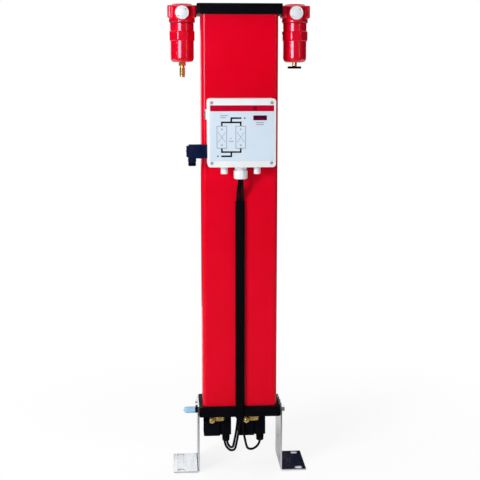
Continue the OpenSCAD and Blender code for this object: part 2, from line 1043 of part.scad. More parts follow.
module display_window() {
  lip = 1.5;
  color([0.16, 0.02, 0.04])
    translate([window_x, 0, box_z + window_z]) {
      fronted(window_w, window_h, 1, box_front - box_wall - 0.5, box_front - 0.4);
      fronted(window_w + 2 * lip, window_h + 2 * lip, 1, box_front - box_wall - 1.5, box_front - box_wall);
    }
}

// Circuit board with transformer, terminal strip and display carrier.
module controller_board() {
  board_back = box_back + box_wall + 9;
  board_front = board_back + 1.6;
  color([0.1, 0.35, 0.2])
    translate([0, 0, box_z]) {
      fronted(board_w, board_h, 2, board_back, board_front);
      translate([-24, 0, 20])
        fronted(34, 28, 1, board_front, base_front - 4);
      translate([0, 0, -34])
        fronted(76, 10, 1, board_front, board_front + 12);
      translate([window_x - 4, 0, window_z])
        fronted(window_w - 4, window_h, 1, board_front, box_front - box_wall - 2);
    }
}

// Large gland: stem in the box wall and hexagonal collar.
module main_gland() {
  color(white)
    translate([0, -gland_y, box_foot])
      difference() {
        union() {
          translate([0, 0, -gland_collar_h])
            cylinder(r = gland_collar_r, h = gland_collar_h);
          cylinder(r = gland_collar_r - 2, h = box_wall + 5);
        }
        translate([0, 0, -gland_collar_h - 1])
          cylinder(r = gland_bore, h = gland_collar_h + box_wall + 7);
      }
}

// Dome nut of the large gland with the sealing insert that the leads leave.
module main_gland_nut() {
  lobes = 12;
  color(white)
    translate([0, -gland_y, box_foot - gland_collar_h - gland_nut_h])
      difference() {
        union() {
          rotate_extrude() {
            square([gland_r - 4, gland_nut_h]);
            translate([0, 4])
              square([gland_r, gland_nut_h - 4]);
            translate([gland_r - 4, 4])
              circle(4);
          }
        }
        translate([0, 0, -1])
          cylinder(r = gland_bore, h = 3);
        for (k = [0 : lobes - 1])
          rotate([0, 0, k * 360 / lobes])
            translate([gland_r + 1.2, 0, 8])
              cylinder(r = 2, h = gland_nut_h);
      }
}

// Small closed gland: stem in the box wall, collar, dome nut with a blind insert.
module small_gland(side) {
  nut_h = small_gland_h - 4;
  translate([side * small_gland_pitch, -gland_y, box_foot]) {
    cylinder(r = small_gland_r - 2, h = box_wall + 4);
    translate([0, 0, -4])
      cylinder(d = 2 * small_gland_r, h = 4, $fn = 6);
    translate([0, 0, -small_gland_h])
      rotate_extrude() {
        square([small_gland_r - 2.5, nut_h + 1]);
        translate([0, 2])
          square([small_gland_r - 0.5, nut_h - 2]);
        translate([small_gland_r - 2.5, 2])
          circle(2);
      }
  }
}

module left_gland() {
  color(white)
    small_gland(-1);
}

module right_gland() {
  color(white)
    small_gland(1);
}

module mains_socket() {
  color(dark_plastic)
    translate([-box_w / 2, -mains_y, mains_z])
      mirror([1, 0, 0]) {
        side_pin(8, -box_wall - 3, 1);
        rotate([90, 0, 90])
          linear_extrude(mains_flange)
            rounded(mains_size, mains_size, 2);
      }
}

// Angled mains plug: square body on the socket, gland neck pointing down.
module mains_plug() {
  color(dark_plastic)
    translate([-box_w / 2, -mains_y, mains_z])
      mirror([1, 0, 0])
        difference() {
          union() {
            translate([mains_flange, 0, 0])
              rotate([90, 0, 90])
                linear_extrude(mains_l - 4)
                  rounded(mains_size, mains_size, 2.5);
            translate([mains_flange + mains_l - 4, 0, 0])
              rotate([90, 0, 90])
                linear_extrude(4)
                  rounded(mains_size - 5, mains_size - 5, 2);
            translate([mains_gland_x - box_w / 2, 0, -mains_size / 2 - 8])
              cylinder(r = mains_gland_r, h = 12);
          }
          side_pin(2.5, mains_flange + mains_l - 5, mains_flange + mains_l + 1);
        }
}

module mains_plug_nut() {
  nut_h = 7;
  color(dark_plastic)
    translate([-mains_gland_x, -mains_y, mains_z - mains_size / 2 - 8]) {
      translate([0, 0, -1.5])
        cylinder(r = mains_gland_r - 1.5, h = 1.5);
      translate([0, 0, -nut_h])
        cylinder(r1 = mains_gland_r - 0.5, r2 = mains_gland_r, h = nut_h - 1.5);
    }
}

// Flat sleeve that holds the leads against the column and through the bottom plate's notch.
module cable_sleeve() {
  inner_w = sleeve_w - 2 * sleeve_wall;
  inner_t = sleeve_t - 2 * sleeve_wall;
  color(black)
    translate([0, -sleeve_y - sleeve_t / 2, sleeve_z])
      linear_extrude(column_z + sleeve_top - sleeve_z)
        difference() {
          rounded(sleeve_w, sleeve_t, 2.5);
          rounded(inner_w, inner_t, 1.5);
        }
}

// Brass valve body under the bottom plate, with its spigot and a side fitting.
module valve_body(side) {
  color(brass)
    translate([valve_x(side), -valve_front, leg_h]) {
      difference() {
        union() {
          cylinder(r = spigot_r, h = spigot_h);
          translate([0, 0, -valve_h])
            cylinder(r = valve_r, h = valve_h);
        }
        translate([0, 0, -valve_h + 2])
          cylinder(r = valve_bore, h = valve_h + spigot_h);
      }
      translate([-bleed_x, 0, -bleed_z])
        rotate([90, 0, 0]) {
          cylinder(r = bleed_neck_r, h = coil_d / 2 + 1);
          translate([0, 0, coil_d / 2 + apart])
            rotate([0, 0, 30])
              cylinder(d = bleed_af / cos(30), h = bleed_h, $fn = 6);
        }
    }
}

module valve_body_left() {
  valve_body(-1);
}

module valve_body_right() {
  valve_body(1);
}

// Moulded coil: block with a round cap over the core tube and a yoke strap.
module valve_coil(side) {
  color(dark_plastic)
    translate([valve_x(side), -valve_front, coil_z]) {
      translate([coil_w / 2 - coil_left, 0, 0])
        linear_extrude(coil_h)
          rounded(coil_w, coil_d, 3);
      translate([-9, 0, -4])
        cylinder(r = 8, h = 5);
    }
}

module valve_coil_left() {
  valve_coil(-1);
}

module valve_coil_right() {
  valve_coil(1);
}

// Angled connector on the coil's side, gland pointing down.
module valve_plug(side) {
  color(dark_plastic)
    translate([valve_x(side), -valve_front, 0]) {
      translate([plug_x, 0, valve_plug_z])
        linear_extrude(coil_z - valve_plug_z + coil_h)
          translate([valve_plug_w / 2, 0])
            rounded(valve_plug_w, valve_plug_d, 2.5);
      translate([valve_r + apart, 0, coil_z + coil_h - 1])
        linear_extrude(valve_plug_z + valve_plug_h - coil_z - coil_h + 1)
          translate([(plug_x + valve_plug_w - valve_r - apart) / 2, 0])
            rounded(plug_x + valve_plug_w - valve_r - apart, valve_plug_d - 4, 2);
      translate([plug_gland_x, 0, plug_gland_z])
        cylinder(r = valve_gland_r, h = valve_gland_h + 2);
    }
}

module valve_plug_left() {
  valve_plug(-1);
}

module valve_plug_right() {
  valve_plug(1);
}

// Way through b on a smooth curve from a to c, no longer than the shorter span beside b, upright at the ends.
function heading(a, b, c) =
  a == b || b == c ? [0, 0, c[2] - a[2]] : (c - a) / norm(c - a) * min(norm(b - a), norm(c - b));

// Point between b and c on a smooth curve through a, b, c and d.
function curve_point(a, b, c, d, t) =
  b + (c - b) * t * t * (3 - 2 * t) + heading(a, b, c) * t * (1 - t) * (1 - t)
    - heading(b, c, d) * t * t * (1 - t);

function route(p) = concat(
  [for (i = [0 : len(p) - 2], s = [0 : lead_steps - 1])
    curve_point(p[max(i - 1, 0)], p[i], p[i + 1], p[min(i + 2, len(p) - 1)], s / lead_steps)],
  [p[len(p) - 1]]
);

function unit(v) = v / norm(v);

// Round lead swept along a route, its ends square to the vertical.
module lead(points) {
  path = route(points);
  last = len(path) - 1;
  rings = [for (i = [0 : last])
    let (
      along = i == 0 || i == last ? [0, 0, i == 0 ? -1 : 1] : unit(path[i + 1] - path[i - 1]),
      u = unit(cross([0, 1, 0], along)),
      v = cross(along, u)
    )
      each ring_points(path[i], u, v, lead_d / 2, lead_sides)];
  color(rubber)
    polyhedron(rings, tube_faces(last + 1, lead_sides));
}

sleeve_mid = -sleeve_y - sleeve_t / 2;
nut_foot = box_foot - gland_collar_h - gland_nut_h + 2;
sleeve_end = column_z + sleeve_top;
left_plug_x = valve_x(-1) + plug_gland_x;
right_plug_x = valve_x(1) + plug_gland_x;

// Upper run of a lead: out of the gland, back to the column in an S, into the sleeve.
function upper_run(x0, y0, x1) = [for (t = [0 : 0.25 : 1])
  let (back = (1 - cos(180 * t)) / 2, aside = min(1, 1.7 * t))
    [x0 + (x1 - x0) * aside, y0 + (sleeve_mid - y0) * back, nut_foot + (sleeve_end - 2 - nut_foot) * t]];

// Loop that hangs from a falling strand at p and rises into a valve plug at q.
function hanging_loop(p, q, depth) = [for (turn = [0 : 45 : 180])
  let (across = (1 - cos(turn)) / 2)
    [p[0] + (q[0] - p[0]) * across, p[1] + (q[1] - p[1]) * across, plug_gland_z - depth * sin(turn)]];

// Lower run of a lead: down the sleeve, out past its end and round its loop.
function lower_run(x, past, p, q, depth) = concat(
  [[x, sleeve_mid, sleeve_z + 12], [x, sleeve_mid, sleeve_z - 4], past], hanging_loop(p, q, depth)
);

module lead_left_inner() {
  lead(concat(
    upper_run(-2.8, -gland_y - 1.6, -lead_pitch),
    lower_run(-lead_pitch, [-8, sleeve_mid - 2, 84], [-13, -46], [left_plug_x + plug_lead_gap, -valve_front], 11)
  ));
}

module lead_left_outer() {
  lead(concat(
    upper_run(0, -gland_y + 3.2, 0),
    lower_run(0, [-3, sleeve_mid - 3, 84], [-8, -49], [left_plug_x - plug_lead_gap, -valve_front], 17)
  ));
}

module lead_right() {
  lead(concat(
    upper_run(2.8, -gland_y - 1.6, lead_pitch),
    lower_run(lead_pitch, [7, sleeve_mid - 3, 84], [12, -49], [right_plug_x, -valve_front], 15)
  ));
}

column();
top_plate();
bottom_plate();
top_gasket();
bottom_gasket();
plate_screws();
bed_left();
bed_right();
lower_screen_left();
lower_screen_right();
upper_screen_left();
upper_screen_right();
bed_spring_left();
bed_spring_right();
leg_left();
leg_right();
leg_screws();
port_plug();
silencer_nipple();
silencer();
prefilter_nipple();
prefilter_head();
prefilter_seal();
prefilter_element();
prefilter_bowl();
prefilter_disc();
prefilter_drain();
afterfilter_nipple();
afterfilter_head();
afterfilter_seal();
afterfilter_element();
afterfilter_bowl();
afterfilter_disc();
afterfilter_drain();
drain_wing();
box_rail();
rail_screws();
box_base();
box_seal();
box_cover();
cover_screws();
display_window();
controller_board();
main_gland();
main_gland_nut();
left_gland();
right_gland();
mains_socket();
mains_plug();
mains_plug_nut();
cable_sleeve();
valve_body_left();
valve_coil_left();
valve_plug_left();
valve_body_right();
valve_coil_right();
valve_plug_right();
lead_left_inner();
lead_left_outer();
lead_right();
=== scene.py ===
import math
import bmesh
import bpy
from mathutils import Matrix, Vector


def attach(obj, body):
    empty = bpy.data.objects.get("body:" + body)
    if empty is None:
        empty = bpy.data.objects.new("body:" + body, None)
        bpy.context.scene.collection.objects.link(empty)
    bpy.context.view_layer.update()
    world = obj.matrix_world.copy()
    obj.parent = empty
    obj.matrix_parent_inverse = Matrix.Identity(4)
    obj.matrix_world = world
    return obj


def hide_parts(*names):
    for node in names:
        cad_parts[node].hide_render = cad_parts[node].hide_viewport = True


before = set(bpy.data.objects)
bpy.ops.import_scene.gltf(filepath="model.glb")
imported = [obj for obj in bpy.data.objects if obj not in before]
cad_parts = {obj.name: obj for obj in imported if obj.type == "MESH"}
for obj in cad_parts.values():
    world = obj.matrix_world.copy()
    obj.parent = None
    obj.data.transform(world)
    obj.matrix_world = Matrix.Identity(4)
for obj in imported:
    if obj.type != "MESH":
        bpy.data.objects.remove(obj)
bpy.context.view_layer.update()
scene = bpy.context.scene
scene.view_settings.view_transform = "Standard"


# Camera: it stands a little left of the dryer and somewhat higher than the controller,
# and looks slightly down, with a small lens shift for the photograph's framing.
MM = 0.001
LOOK_DOWN, LOOK_RIGHT = 8.49, 3.75
camera_data = bpy.data.cameras.new("camera")
camera_data.sensor_width = 36.0
camera_data.lens = 76.17
camera_data.shift_y = -0.018
camera = bpy.data.objects.new("camera", camera_data)
camera.location = Vector((-130.0, -2027.4, 791.9)) * MM
camera.rotation_euler = (math.radians(90.0 - LOOK_DOWN), 0.0, math.radians(-LOOK_RIGHT))
scene.collection.objects.link(camera)
scene.camera = camera


# Studio: a pale floor that keeps the shadow, a white surrounding behind and a dim room in front,
# soft lamps at the left and above, weak fills at the right and behind, and cards that only
# reflections see: dark ones behind and beside the dryer, bright ones in front of it.
class Wire:
    """A shader socket; sums on it add Math nodes, and node() adds any other node."""

    def __init__(self, tree, socket=None):
        self.tree, self.socket = tree, socket

    def node(self, kind, sockets=(), out=0, **settings):
        made = self.tree.nodes.new(kind)
        for key, value in settings.items():
            setattr(made, key, value)
        for key, value in dict(sockets).items():
            if isinstance(value, Wire):
                self.tree.links.new(value.socket, made.inputs[key])
            else:
                made.inputs[key].default_value = value
        return Wire(self.tree, made.outputs[out])

    def math(self, operation, a, b):
        return self.node("ShaderNodeMath", {0: a, 1: b}, operation=operation)

    def __add__(self, other):
        return self.math("ADD", self, other)

    __radd__ = __add__

    def __rsub__(self, other):
        return self.math("SUBTRACT", other, self)

    def __mul__(self, other):
        return self.math("MULTIPLY", self, other)

    __rmul__ = __mul__

    def __abs__(self):
        return self.node("ShaderNodeMath", {0: self}, operation="ABSOLUTE")

    def along(self, axis):
        """The X, Y or Z of this place or direction."""
        return self.node("ShaderNodeSeparateXYZ", {0: self}, out=axis)

    def mixed(self, low, high):
        """Colour between low and high, by this value."""
        sockets = {0: self, 6: (*low, 1.0), 7: (*high, 1.0)}
        return self.node("ShaderNodeMix", sockets, out=2, data_type="RGBA")

    def within(self, low, high, to_low=0.0, to_high=1.0):
        """This value's range from low to high, made the range from to_low to to_high."""
        sockets = {0: self, 1: low, 2: high, 3: to_low, 4: to_high}
        return self.node("ShaderNodeMapRange", sockets, interpolation_type="SMOOTHSTEP")


WHITE = (1.0, 1.0, 1.0)
DIM_ROOM = (0.05, 0.05, 0.055)
world = bpy.data.worlds.new("surrounding")
world.use_nodes = True
world_wire = Wire(world.node_tree)
seen = world_wire.node("ShaderNodeLightPath", out="Is Camera Ray")
scattered = world_wire.node("ShaderNodeLightPath", out="Is Diffuse Ray")
sky_y = world_wire.node("ShaderNodeTexCoord", out="Generated").along("Y")
behind = sky_y.within(-0.35, 0.25) * (1.0 - 0.45 * scattered)
room = world_wire.math("MAXIMUM", behind, seen).mixed(DIM_ROOM, WHITE)
world.node_tree.links.new(room.socket, world.node_tree.nodes["Background"].inputs[0])
scene.world = world

FLOOR_REACH = 6.0
FLOOR_PALE, FLOOR_SHADED = (0.8, 0.8, 0.8), (0.1, 0.1, 0.1)
floor_bm = bmesh.new()
bmesh.ops.create_grid(floor_bm, x_segments=1, y_segments=1, size=FLOOR_REACH)
floor_mesh = bpy.data.meshes.new("floor")
floor_bm.to_mesh(floor_mesh)
floor_bm.free()
floor = bpy.data.objects.new("floor", floor_mesh)
scene.collection.objects.link(floor)
floor_finish = bpy.data.materials.new("pale_floor")
floor_finish.use_nodes = True
floor_tree = floor_finish.node_tree
floor_wire = Wire(floor_tree)
floor_place = floor_wire.node("ShaderNodeTexCoord", out="Object")
straight = floor_wire.node("ShaderNodeLightPath", out="Is Camera Ray")
mirrored = floor_wire.node("ShaderNodeLightPath", out="Is Glossy Ray")
distance = floor_wire.node("ShaderNodeVectorMath", {0: floor_place}, out="Value", operation="LENGTH")
near = 1.0 - distance.within(0.3, 1.1)
front = 1.0 - floor_place.along("Y").within(-0.5, 0.0)
glowing = straight * (1.0 - 0.26 * near) + mirrored * (1.0 - front) * (1.0 - near)
floor_colour = (mirrored * front).mixed(FLOOR_PALE, FLOOR_SHADED)
floor_paint = floor_wire.node("ShaderNodeBsdfDiffuse", {0: floor_colour})
floor_glow = floor_wire.node("ShaderNodeEmission", {0: (*WHITE, 1.0), 1: 1.0 + 0.1 * near})
floor_mix = floor_wire.node("ShaderNodeMixShader", {0: glowing, 1: floor_paint, 2: floor_glow})
floor_tree.links.new(floor_mix.socket, floor_tree.nodes["Material Output"].inputs[0])
floor_mesh.materials.append(floor_finish)


def lamp(name, place, target, width, height, watts):
    """A soft rectangular lamp; the cards stand for it in reflections."""
    data = bpy.data.lights.new(name, "AREA")
    data.shape, data.size, data.size_y, data.energy = "RECTANGLE", width, height, watts
    made = bpy.data.objects.new(name, data)
    made.location = place
    made.rotation_euler = (Vector(target) - Vector(place)).to_track_quat("-Z", "Y").to_euler()
    made.visible_glossy = False
    scene.collection.objects.link(made)


lamp("left_softbox", (-1.25, -1.78, 0.95), (0.0, 0.0, 0.6), 0.5, 1.1, 9.5)
lamp("left_key", (-1.6, -1.6, 0.95), (0.0, 0.0, 0.45), 0.6, 0.6, 29.0)
lamp("right_fill", (1.5, -1.9, 1.0), (0.0, 0.0, 0.5), 1.2, 1.6, 4.5)
lamp("top_softbox", (-0.3, -0.5, 2.4), (0.0, 0.0, 0.4), 1.2, 0.9, 11.0)
lamp("rear_fill", (1.3, 2.0, 1.2), (0.0, 0.0, 0.5), 1.4, 1.6, 14.0)


def card(name, place, width, height, facing, colour, strength=1.0):
    """An upright card of an even colour that only reflections see."""
    bm = bmesh.new()
    bmesh.ops.create_grid(bm, x_segments=1, y_segments=1, size=0.5)
    upright = Matrix.Rotation(math.radians(facing), 4, "Z") @ Matrix.Rotation(math.radians(90.0), 4, "X")
    upright = Matrix.Translation(place) @ upright @ Matrix.Diagonal((width, height, 1.0, 1.0))
    bmesh.ops.transform(bm, verts=bm.verts, matrix=upright)
    mesh = bpy.data.meshes.new(name)
    bm.to_mesh(mesh)
    bm.free()
    surface = bpy.data.materials.new(name)
    surface.use_nodes = True
    glow = Wire(surface.node_tree).node("ShaderNodeEmission", {0: (*colour, 1.0), 1: strength})
    surface.node_tree.links.new(glow.socket, surface.node_tree.nodes["Material Output"].inputs[0])
    mesh.materials.append(surface)
    made = bpy.data.objects.new(name, mesh)
    scene.collection.objects.link(made)
    made.visible_camera = made.visible_diffuse = made.visible_shadow = False


DARK = (0.002, 0.002, 0.014)
ROSY = (1.0, 0.68, 0.92)
card("right_flag", (1.1, 2.5, 1.45), 1.8, 2.2, 0.0, DARK)
card("side_flag", (2.3, 0.9, 1.0), 3.4, 2.6, 90.0, DARK)
card("left_flag", (-2.3, 0.9, 1.0), 3.4, 2.6, 90.0, DARK)
card("upper_flag", (0.0, 1.5, 1.27), 3.0, 0.62, 0.0, DARK)
card("lower_flag", (0.0, 1.5, 0.25), 3.0, 0.5, 0.0, DARK)
card("streak_card", (-0.95, -1.9, 0.97), 0.85, 0.66, -27.0, ROSY, 13.0)
card("thin_card", (1.6, -1.8, 0.97), 0.14, 0.6, 42.0, WHITE, 2.5)


# Valve leads: three round rubber-sheathed leads that leave the large gland, run down the column
# in the sleeve and loop up into the two valve plugs from below.
def finish(name, colour, roughness, **fixed):
    """A Principled material with its even values set; returns it with its coordinates."""
    made = bpy.data.materials.new(name)
    made.use_nodes = True
    shader = made.node_tree.nodes["Principled BSDF"]
    shader.inputs["Base Color"].default_value = (*colour, 1.0)
    shader.inputs["Roughness"].default_value = roughness
    for key, value in fixed.items():
        shader.inputs[key.replace("_", " ")].default_value = value
    return made, Wire(made.node_tree).node("ShaderNodeTexCoord", out="Object")


def feed(material, **wires):
    """Links what changes over the surface to the material's shader."""
    shader = material.node_tree.nodes["Principled BSDF"]
    for key, value in wires.items():
        material.node_tree.links.new(value.socket, shader.inputs[key.replace("_", " ")])


def noise(place, scale, detail=3.0, roughness=0.5, stretch=(1.0, 1.0, 1.0)):
    """Noise over the object's own coordinates, in features per metre."""
    drawn_out = place.node("ShaderNodeMapping", {0: place, 3: stretch})
    sockets = {"Vector": drawn_out, "Scale": scale, "Detail": detail, "Roughness": roughness}
    return place.node("ShaderNodeTexNoise", sockets)


def bump(height, distance):
    return height.node("ShaderNodeBump", {"Strength": 1.0, "Distance": distance, "Height": height})


RUBBER_BLACK = (0.0025, 0.0025, 0.004)
lead_rubber, lead_place = finish("lead_rubber", RUBBER_BLACK, 0.45, Specular_IOR_Level=0.12)
lead_grain = noise(lead_place, 900.0)
lead_haze = noise(lead_place, 60.0)
feed(
    lead_rubber,
    Base_Color=lead_haze.within(0.35, 0.75).mixed(RUBBER_BLACK, (0.005, 0.005, 0.007)),
    Roughness=lead_grain.within(0.3, 0.7, 0.38, 0.52),
    Normal=bump(lead_grain, 0.00005),
)


def smooth_route(points, steps):
    """Points on one smooth curve through the given ones, upright at both ends,
    with no span overshooting the next."""
    knots = [Vector(p) for p in points]
    ways = [Vector((0.0, 0.0, knots[1].z - knots[0].z))]
    for a, b, c in zip(knots, knots[1:], knots[2:]):
        ways.append((c - a).normalized() * min((b - a).length, (c - b).length))
    ways.append(Vector((0.0, 0.0, knots[-1].z - knots[-2].z)))
    route = []
    for b, c, way_b, way_c in zip(knots, knots[1:], ways, ways[1:]):
        for s in range(steps):
            t = s / steps
            way = way_b * t * (1 - t) ** 2 - way_c * t * t * (1 - t)
            route.append(b + (c - b) * t * t * (3 - 2 * t) + way)
    return route + [knots[-1]]


LEAD_D = 4.8
GLAND_Y = -63.9
NUT_FACE = 603.0
SLEEVE_Y, SLEEVE_TOP, SLEEVE_FOOT = -44.0, 555.0, 112.0
VALVE_X = {"left": -43.5, "right": 26.5}
VALVE_Y = -24.0
PLUG_ASIDE, PLUG_FOOT = 15.75, 58.0


def lead(node, gland, sleeve_x, past, falling, rising_x, depth):
    """One lead: out of the gland, back to the column, through the sleeve, past its end
    and round a hanging loop."""
    points = []
    for t in (0.0, 0.25, 0.5, 0.75, 1.0):
        back, aside = (1 - math.cos(math.pi * t)) / 2, min(1.0, 1.7 * t)
        x, y = gland[0] + (sleeve_x - gland[0]) * aside, gland[1] + (SLEEVE_Y - gland[1]) * back
        points.append((x, y, NUT_FACE + (SLEEVE_TOP - 2 - NUT_FACE) * t))
    points += [(sleeve_x, SLEEVE_Y, SLEEVE_FOOT + 12), (sleeve_x, SLEEVE_Y, SLEEVE_FOOT - 4), past]
    for turn in (0, 45, 90, 135, 180):
        across = (1 - math.cos(math.radians(turn))) / 2
        x, y = falling[0] + (rising_x - falling[0]) * across, falling[1] + (VALVE_Y - falling[1]) * across
        points.append((x, y, PLUG_FOOT - depth * math.sin(math.radians(turn))))
    route = [p * MM for p in smooth_route(points, 8)]
    curve = bpy.data.curves.new(node + "_cord", "CURVE")
    curve.dimensions = "3D"
    curve.bevel_depth = LEAD_D / 2 * MM
    curve.bevel_resolution = 3
    curve.use_fill_caps = True
    spline = curve.splines.new("POLY")
    spline.points.add(len(route) - 1)
    for point, spot in zip(spline.points, route):
        point.co = (*spot, 1.0)
    curve.materials.append(lead_rubber)
    cord = bpy.data.objects.new(node + "_cord", curve)
    scene.collection.objects.link(cord)
    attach(cord, "dryer")
    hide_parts(node)


LEFT_PLUG_X, RIGHT_PLUG_X = VALVE_X["left"] + PLUG_ASIDE, VALVE_X["right"] + PLUG_ASIDE
lead("lead_left_inner", (-2.8, GLAND_Y - 1.6), -5.1, (-8, -46, 84), (-13, -46), LEFT_PLUG_X + 2.6, 11)
lead("lead_left_outer", (0.0, GLAND_Y + 3.2), 0.0, (-3, -47, 84), (-8, -49), LEFT_PLUG_X - 2.6, 17)
lead("lead_right", (2.8, GLAND_Y - 1.6), 5.1, (7, -47, 84), (12, -49), RIGHT_PLUG_X, 15)


# Column: one aluminium extrusion with two drying chambers, stove-enamelled red outside.
# The enamel shows the faint orange peel of a sprayed coat, and it is thicker and glossier
# where it gathers on the rounded corners.
RED = (0.76, 0.0, 0.016)
CORNER_GLOSS = 0.4
enamel, enamel_place = finish("red_enamel", RED, 0.2, Specular_IOR_Level=0.12)
enamel_peel = noise(enamel_place, 420.0, detail=2.0)
enamel_cloud = noise(enamel_place, 9.0)
corner_x = abs(enamel_place.along("X")).within(0.0665, 0.0685)
corner_y = abs(enamel_place.along("Y")).within(0.0375, 0.0385)
feed(
    enamel,
    Coat_Weight=corner_x * corner_y * CORNER_GLOSS,
    Base_Color=enamel_cloud.within(0.3, 0.7).mixed((0.735, 0.0, 0.013), (0.775, 0.0, 0.018)),
    Roughness=noise(enamel_place, 60.0).within(0.3, 0.7, 0.2, 0.27),
    Normal=bump(enamel_peel, 0.00003),
)


def dress(material, *nodes):
    """Gives CAD nodes a material."""
    for name in nodes:
        for material_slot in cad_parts[name].material_slots:
            material_slot.material = material


def eased(width, *nodes):
    """Softens the edges of CAD nodes that keep their own solid."""
    for name in nodes:
        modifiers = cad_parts[name].modifiers
        weld = modifiers.new("joined", "WELD")
        weld.merge_threshold = 0.00001
        ease = modifiers.new("eased", "BEVEL")
        ease.width = width * MM
        ease.segments = 2
        ease.limit_method = "ANGLE"
        ease.angle_limit = math.radians(40.0)
        ease.use_clamp_overlap = True
        weigh = modifiers.new("flat", "WEIGHTED_NORMAL")
        weigh.weight = 100


dress(enamel, "column")


# End plates: machined aluminium blocks with a satin black coating, drawn against the column
# by six socket screws each, over flat rubber gaskets.
COATING_BLACK = (0.002, 0.0022, 0.004)
coating, coating_place = finish("black_coating", COATING_BLACK, 0.38, Specular_IOR_Level=0.06)
coating_grain = noise(coating_place, 1500.0)
coating_rub = noise(coating_place, 35.0, stretch=(1.0, 1.0, 6.0))
feed(
    coating,
    Base_Color=coating_rub.within(0.45, 0.8).mixed(COATING_BLACK, (0.004, 0.004, 0.007)),
    Roughness=coating_rub.within(0.3, 0.7, 0.32, 0.46),
    Normal=bump(coating_grain, 0.00004),
)
gasket_rubber, gasket_place = finish("gasket_rubber", (0.014, 0.014, 0.015), 0.7)
gasket_grain = noise(gasket_place, 800.0)
feed(
    gasket_rubber,
    Base_Color=gasket_grain.mixed((0.009, 0.009, 0.01), (0.02, 0.02, 0.02)),
    Normal=bump(gasket_grain, 0.00008),
)
steel, steel_place = finish("plain_steel", (0.5, 0.51, 0.52), 0.32, Metallic=1.0)
steel_draw = noise(steel_place, 260.0, stretch=(1.0, 1.0, 0.2))
feed(
    steel,
    Base_Color=steel_draw.within(0.3, 0.7).mixed((0.42, 0.43, 0.44), (0.58, 0.59, 0.6)),
    Roughness=steel_draw.within(0.3, 0.7, 0.24, 0.42),
    Normal=bump(steel_draw, 0.00003),
)
dress(coating, "top_plate", "bottom_plate")
eased(0.5, "top_plate", "bottom_plate")
dress(gasket_rubber, "top_gasket", "bottom_gasket")
dress(steel, "plate_screws")


# Drying beds: white desiccant beads between perforated steel screens, held down by a coil spring.
# They stand inside the closed chambers.
beads, beads_place = finish("desiccant_beads", (0.82, 0.81, 0.77), 0.75)
bead_cells_and_shade = beads_place.node("ShaderNodeTexVoronoi", {"Vector": beads_place, "Scale": 280.0})
# The base colour darkens from each bead's middle towards its rim: painted shade between the beads. The same
# cells give the beads their domed bump.
feed(
    beads,
    Base_Color=bead_cells_and_shade.within(0.0, 0.7).mixed((0.88, 0.87, 0.83), (0.6, 0.59, 0.55)),
    Normal=bump(1.0 - bead_cells_and_shade, 0.0012),
)
dress(beads, "bed_left", "bed_right")
dress(steel, "lower_screen_left", "lower_screen_right", "upper_screen_left", "upper_screen_right")
dress(steel, "bed_spring_left", "bed_spring_right")


# Leg brackets: bent sheet steel with bright zinc plating, each screwed to the bottom plate's end
# by two hexagon screws, with two slots in the foot for floor anchors.
zinc, zinc_place = finish("bright_zinc", (0.84, 0.87, 0.9), 0.2, Metallic=1.0)
zinc_draw = noise(zinc_place, 120.0, detail=4.0, stretch=(1.0, 0.12, 1.0))
zinc_cloud = noise(zinc_place, 18.0)
feed(
    zinc,
    Base_Color=zinc_cloud.within(0.3, 0.7).mixed((0.84, 0.88, 0.91), (0.9, 0.93, 0.95)),
    Roughness=zinc_draw.within(0.3, 0.7, 0.11, 0.17),
    Normal=bump(zinc_draw, 0.000004),
)
dress(zinc, "leg_left", "leg_right", "leg_screws", "port_plug")
dress(coating, "silencer_nipple")
eased(0.4, "leg_left", "leg_right", "leg_screws", "port_plug", "silencer_nipple")


# Exhaust silencer: a porous plastic thimble, pale blue, screwed on the hexagon nipple
# at the left end of the bottom plate. It is moulded with shallow rings.
def turned(profile, steps=64):
    """A body of revolution about Z from its radius and height pairs, in millimetres."""
    bm = bmesh.new()
    verts = [bm.verts.new((r * MM, 0.0, z * MM)) for r, z in profile]
    edges = [bm.edges.new(pair) for pair in zip(verts, verts[1:])]
    bmesh.ops.spin(
        bm, geom=verts + edges, axis=(0, 0, 1), cent=(0, 0, 0), angle=math.tau, steps=steps, use_merge=True
    )
    bmesh.ops.remove_doubles(bm, verts=bm.verts, dist=1e-7)
    return bm


def rounding(r, z, radius, start, end, count=6):
    """Profile points on an arc about (r, z), between two angles in degrees."""
    angles = [math.radians(start + (end - start) * k / count) for k in range(count + 1)]
    return [(r + radius * math.cos(a), z + radius * math.sin(a)) for a in angles]


def at(x, y, z):
    return Matrix.Translation((x, y, z))


def about(axis, degrees):
    return Matrix.Rotation(math.radians(degrees), 4, axis)


def placed(part, place):
    """The part moved to a place given in millimetres."""
    scaled = place.copy()
    scaled.translation = place.translation * MM
    bmesh.ops.transform(part, verts=part.verts, matrix=scaled)
    return part


def put(bm, part, place=Matrix.Identity(4)):
    """Adds a part to a bmesh at a place given in millimetres, and frees the part."""
    mesh = bpy.data.meshes.new("part")
    placed(part, place).to_mesh(mesh)
    part.free()
    bm.from_mesh(mesh)
    bpy.data.meshes.remove(mesh)


def piece(name, bm, material, nodes=(), body="dryer", sharp=32.0):
    """Makes the finished object of a bmesh: outward faces, smooth rounds, kept corners."""
    bmesh.ops.recalc_face_normals(bm, faces=bm.faces)
    for face in bm.faces:
        face.smooth = True
    for edge in bm.edges:
        if len(edge.link_faces) == 2 and edge.calc_face_angle() > math.radians(sharp):
            edge.smooth = False
    mesh = bpy.data.meshes.new(name)
    bm.to_mesh(mesh)
    bm.free()
    mesh.materials.append(material)
    made = bpy.data.objects.new(name, mesh)
    scene.collection.objects.link(made)
    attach(made, body)
    if nodes:
        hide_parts(*nodes)


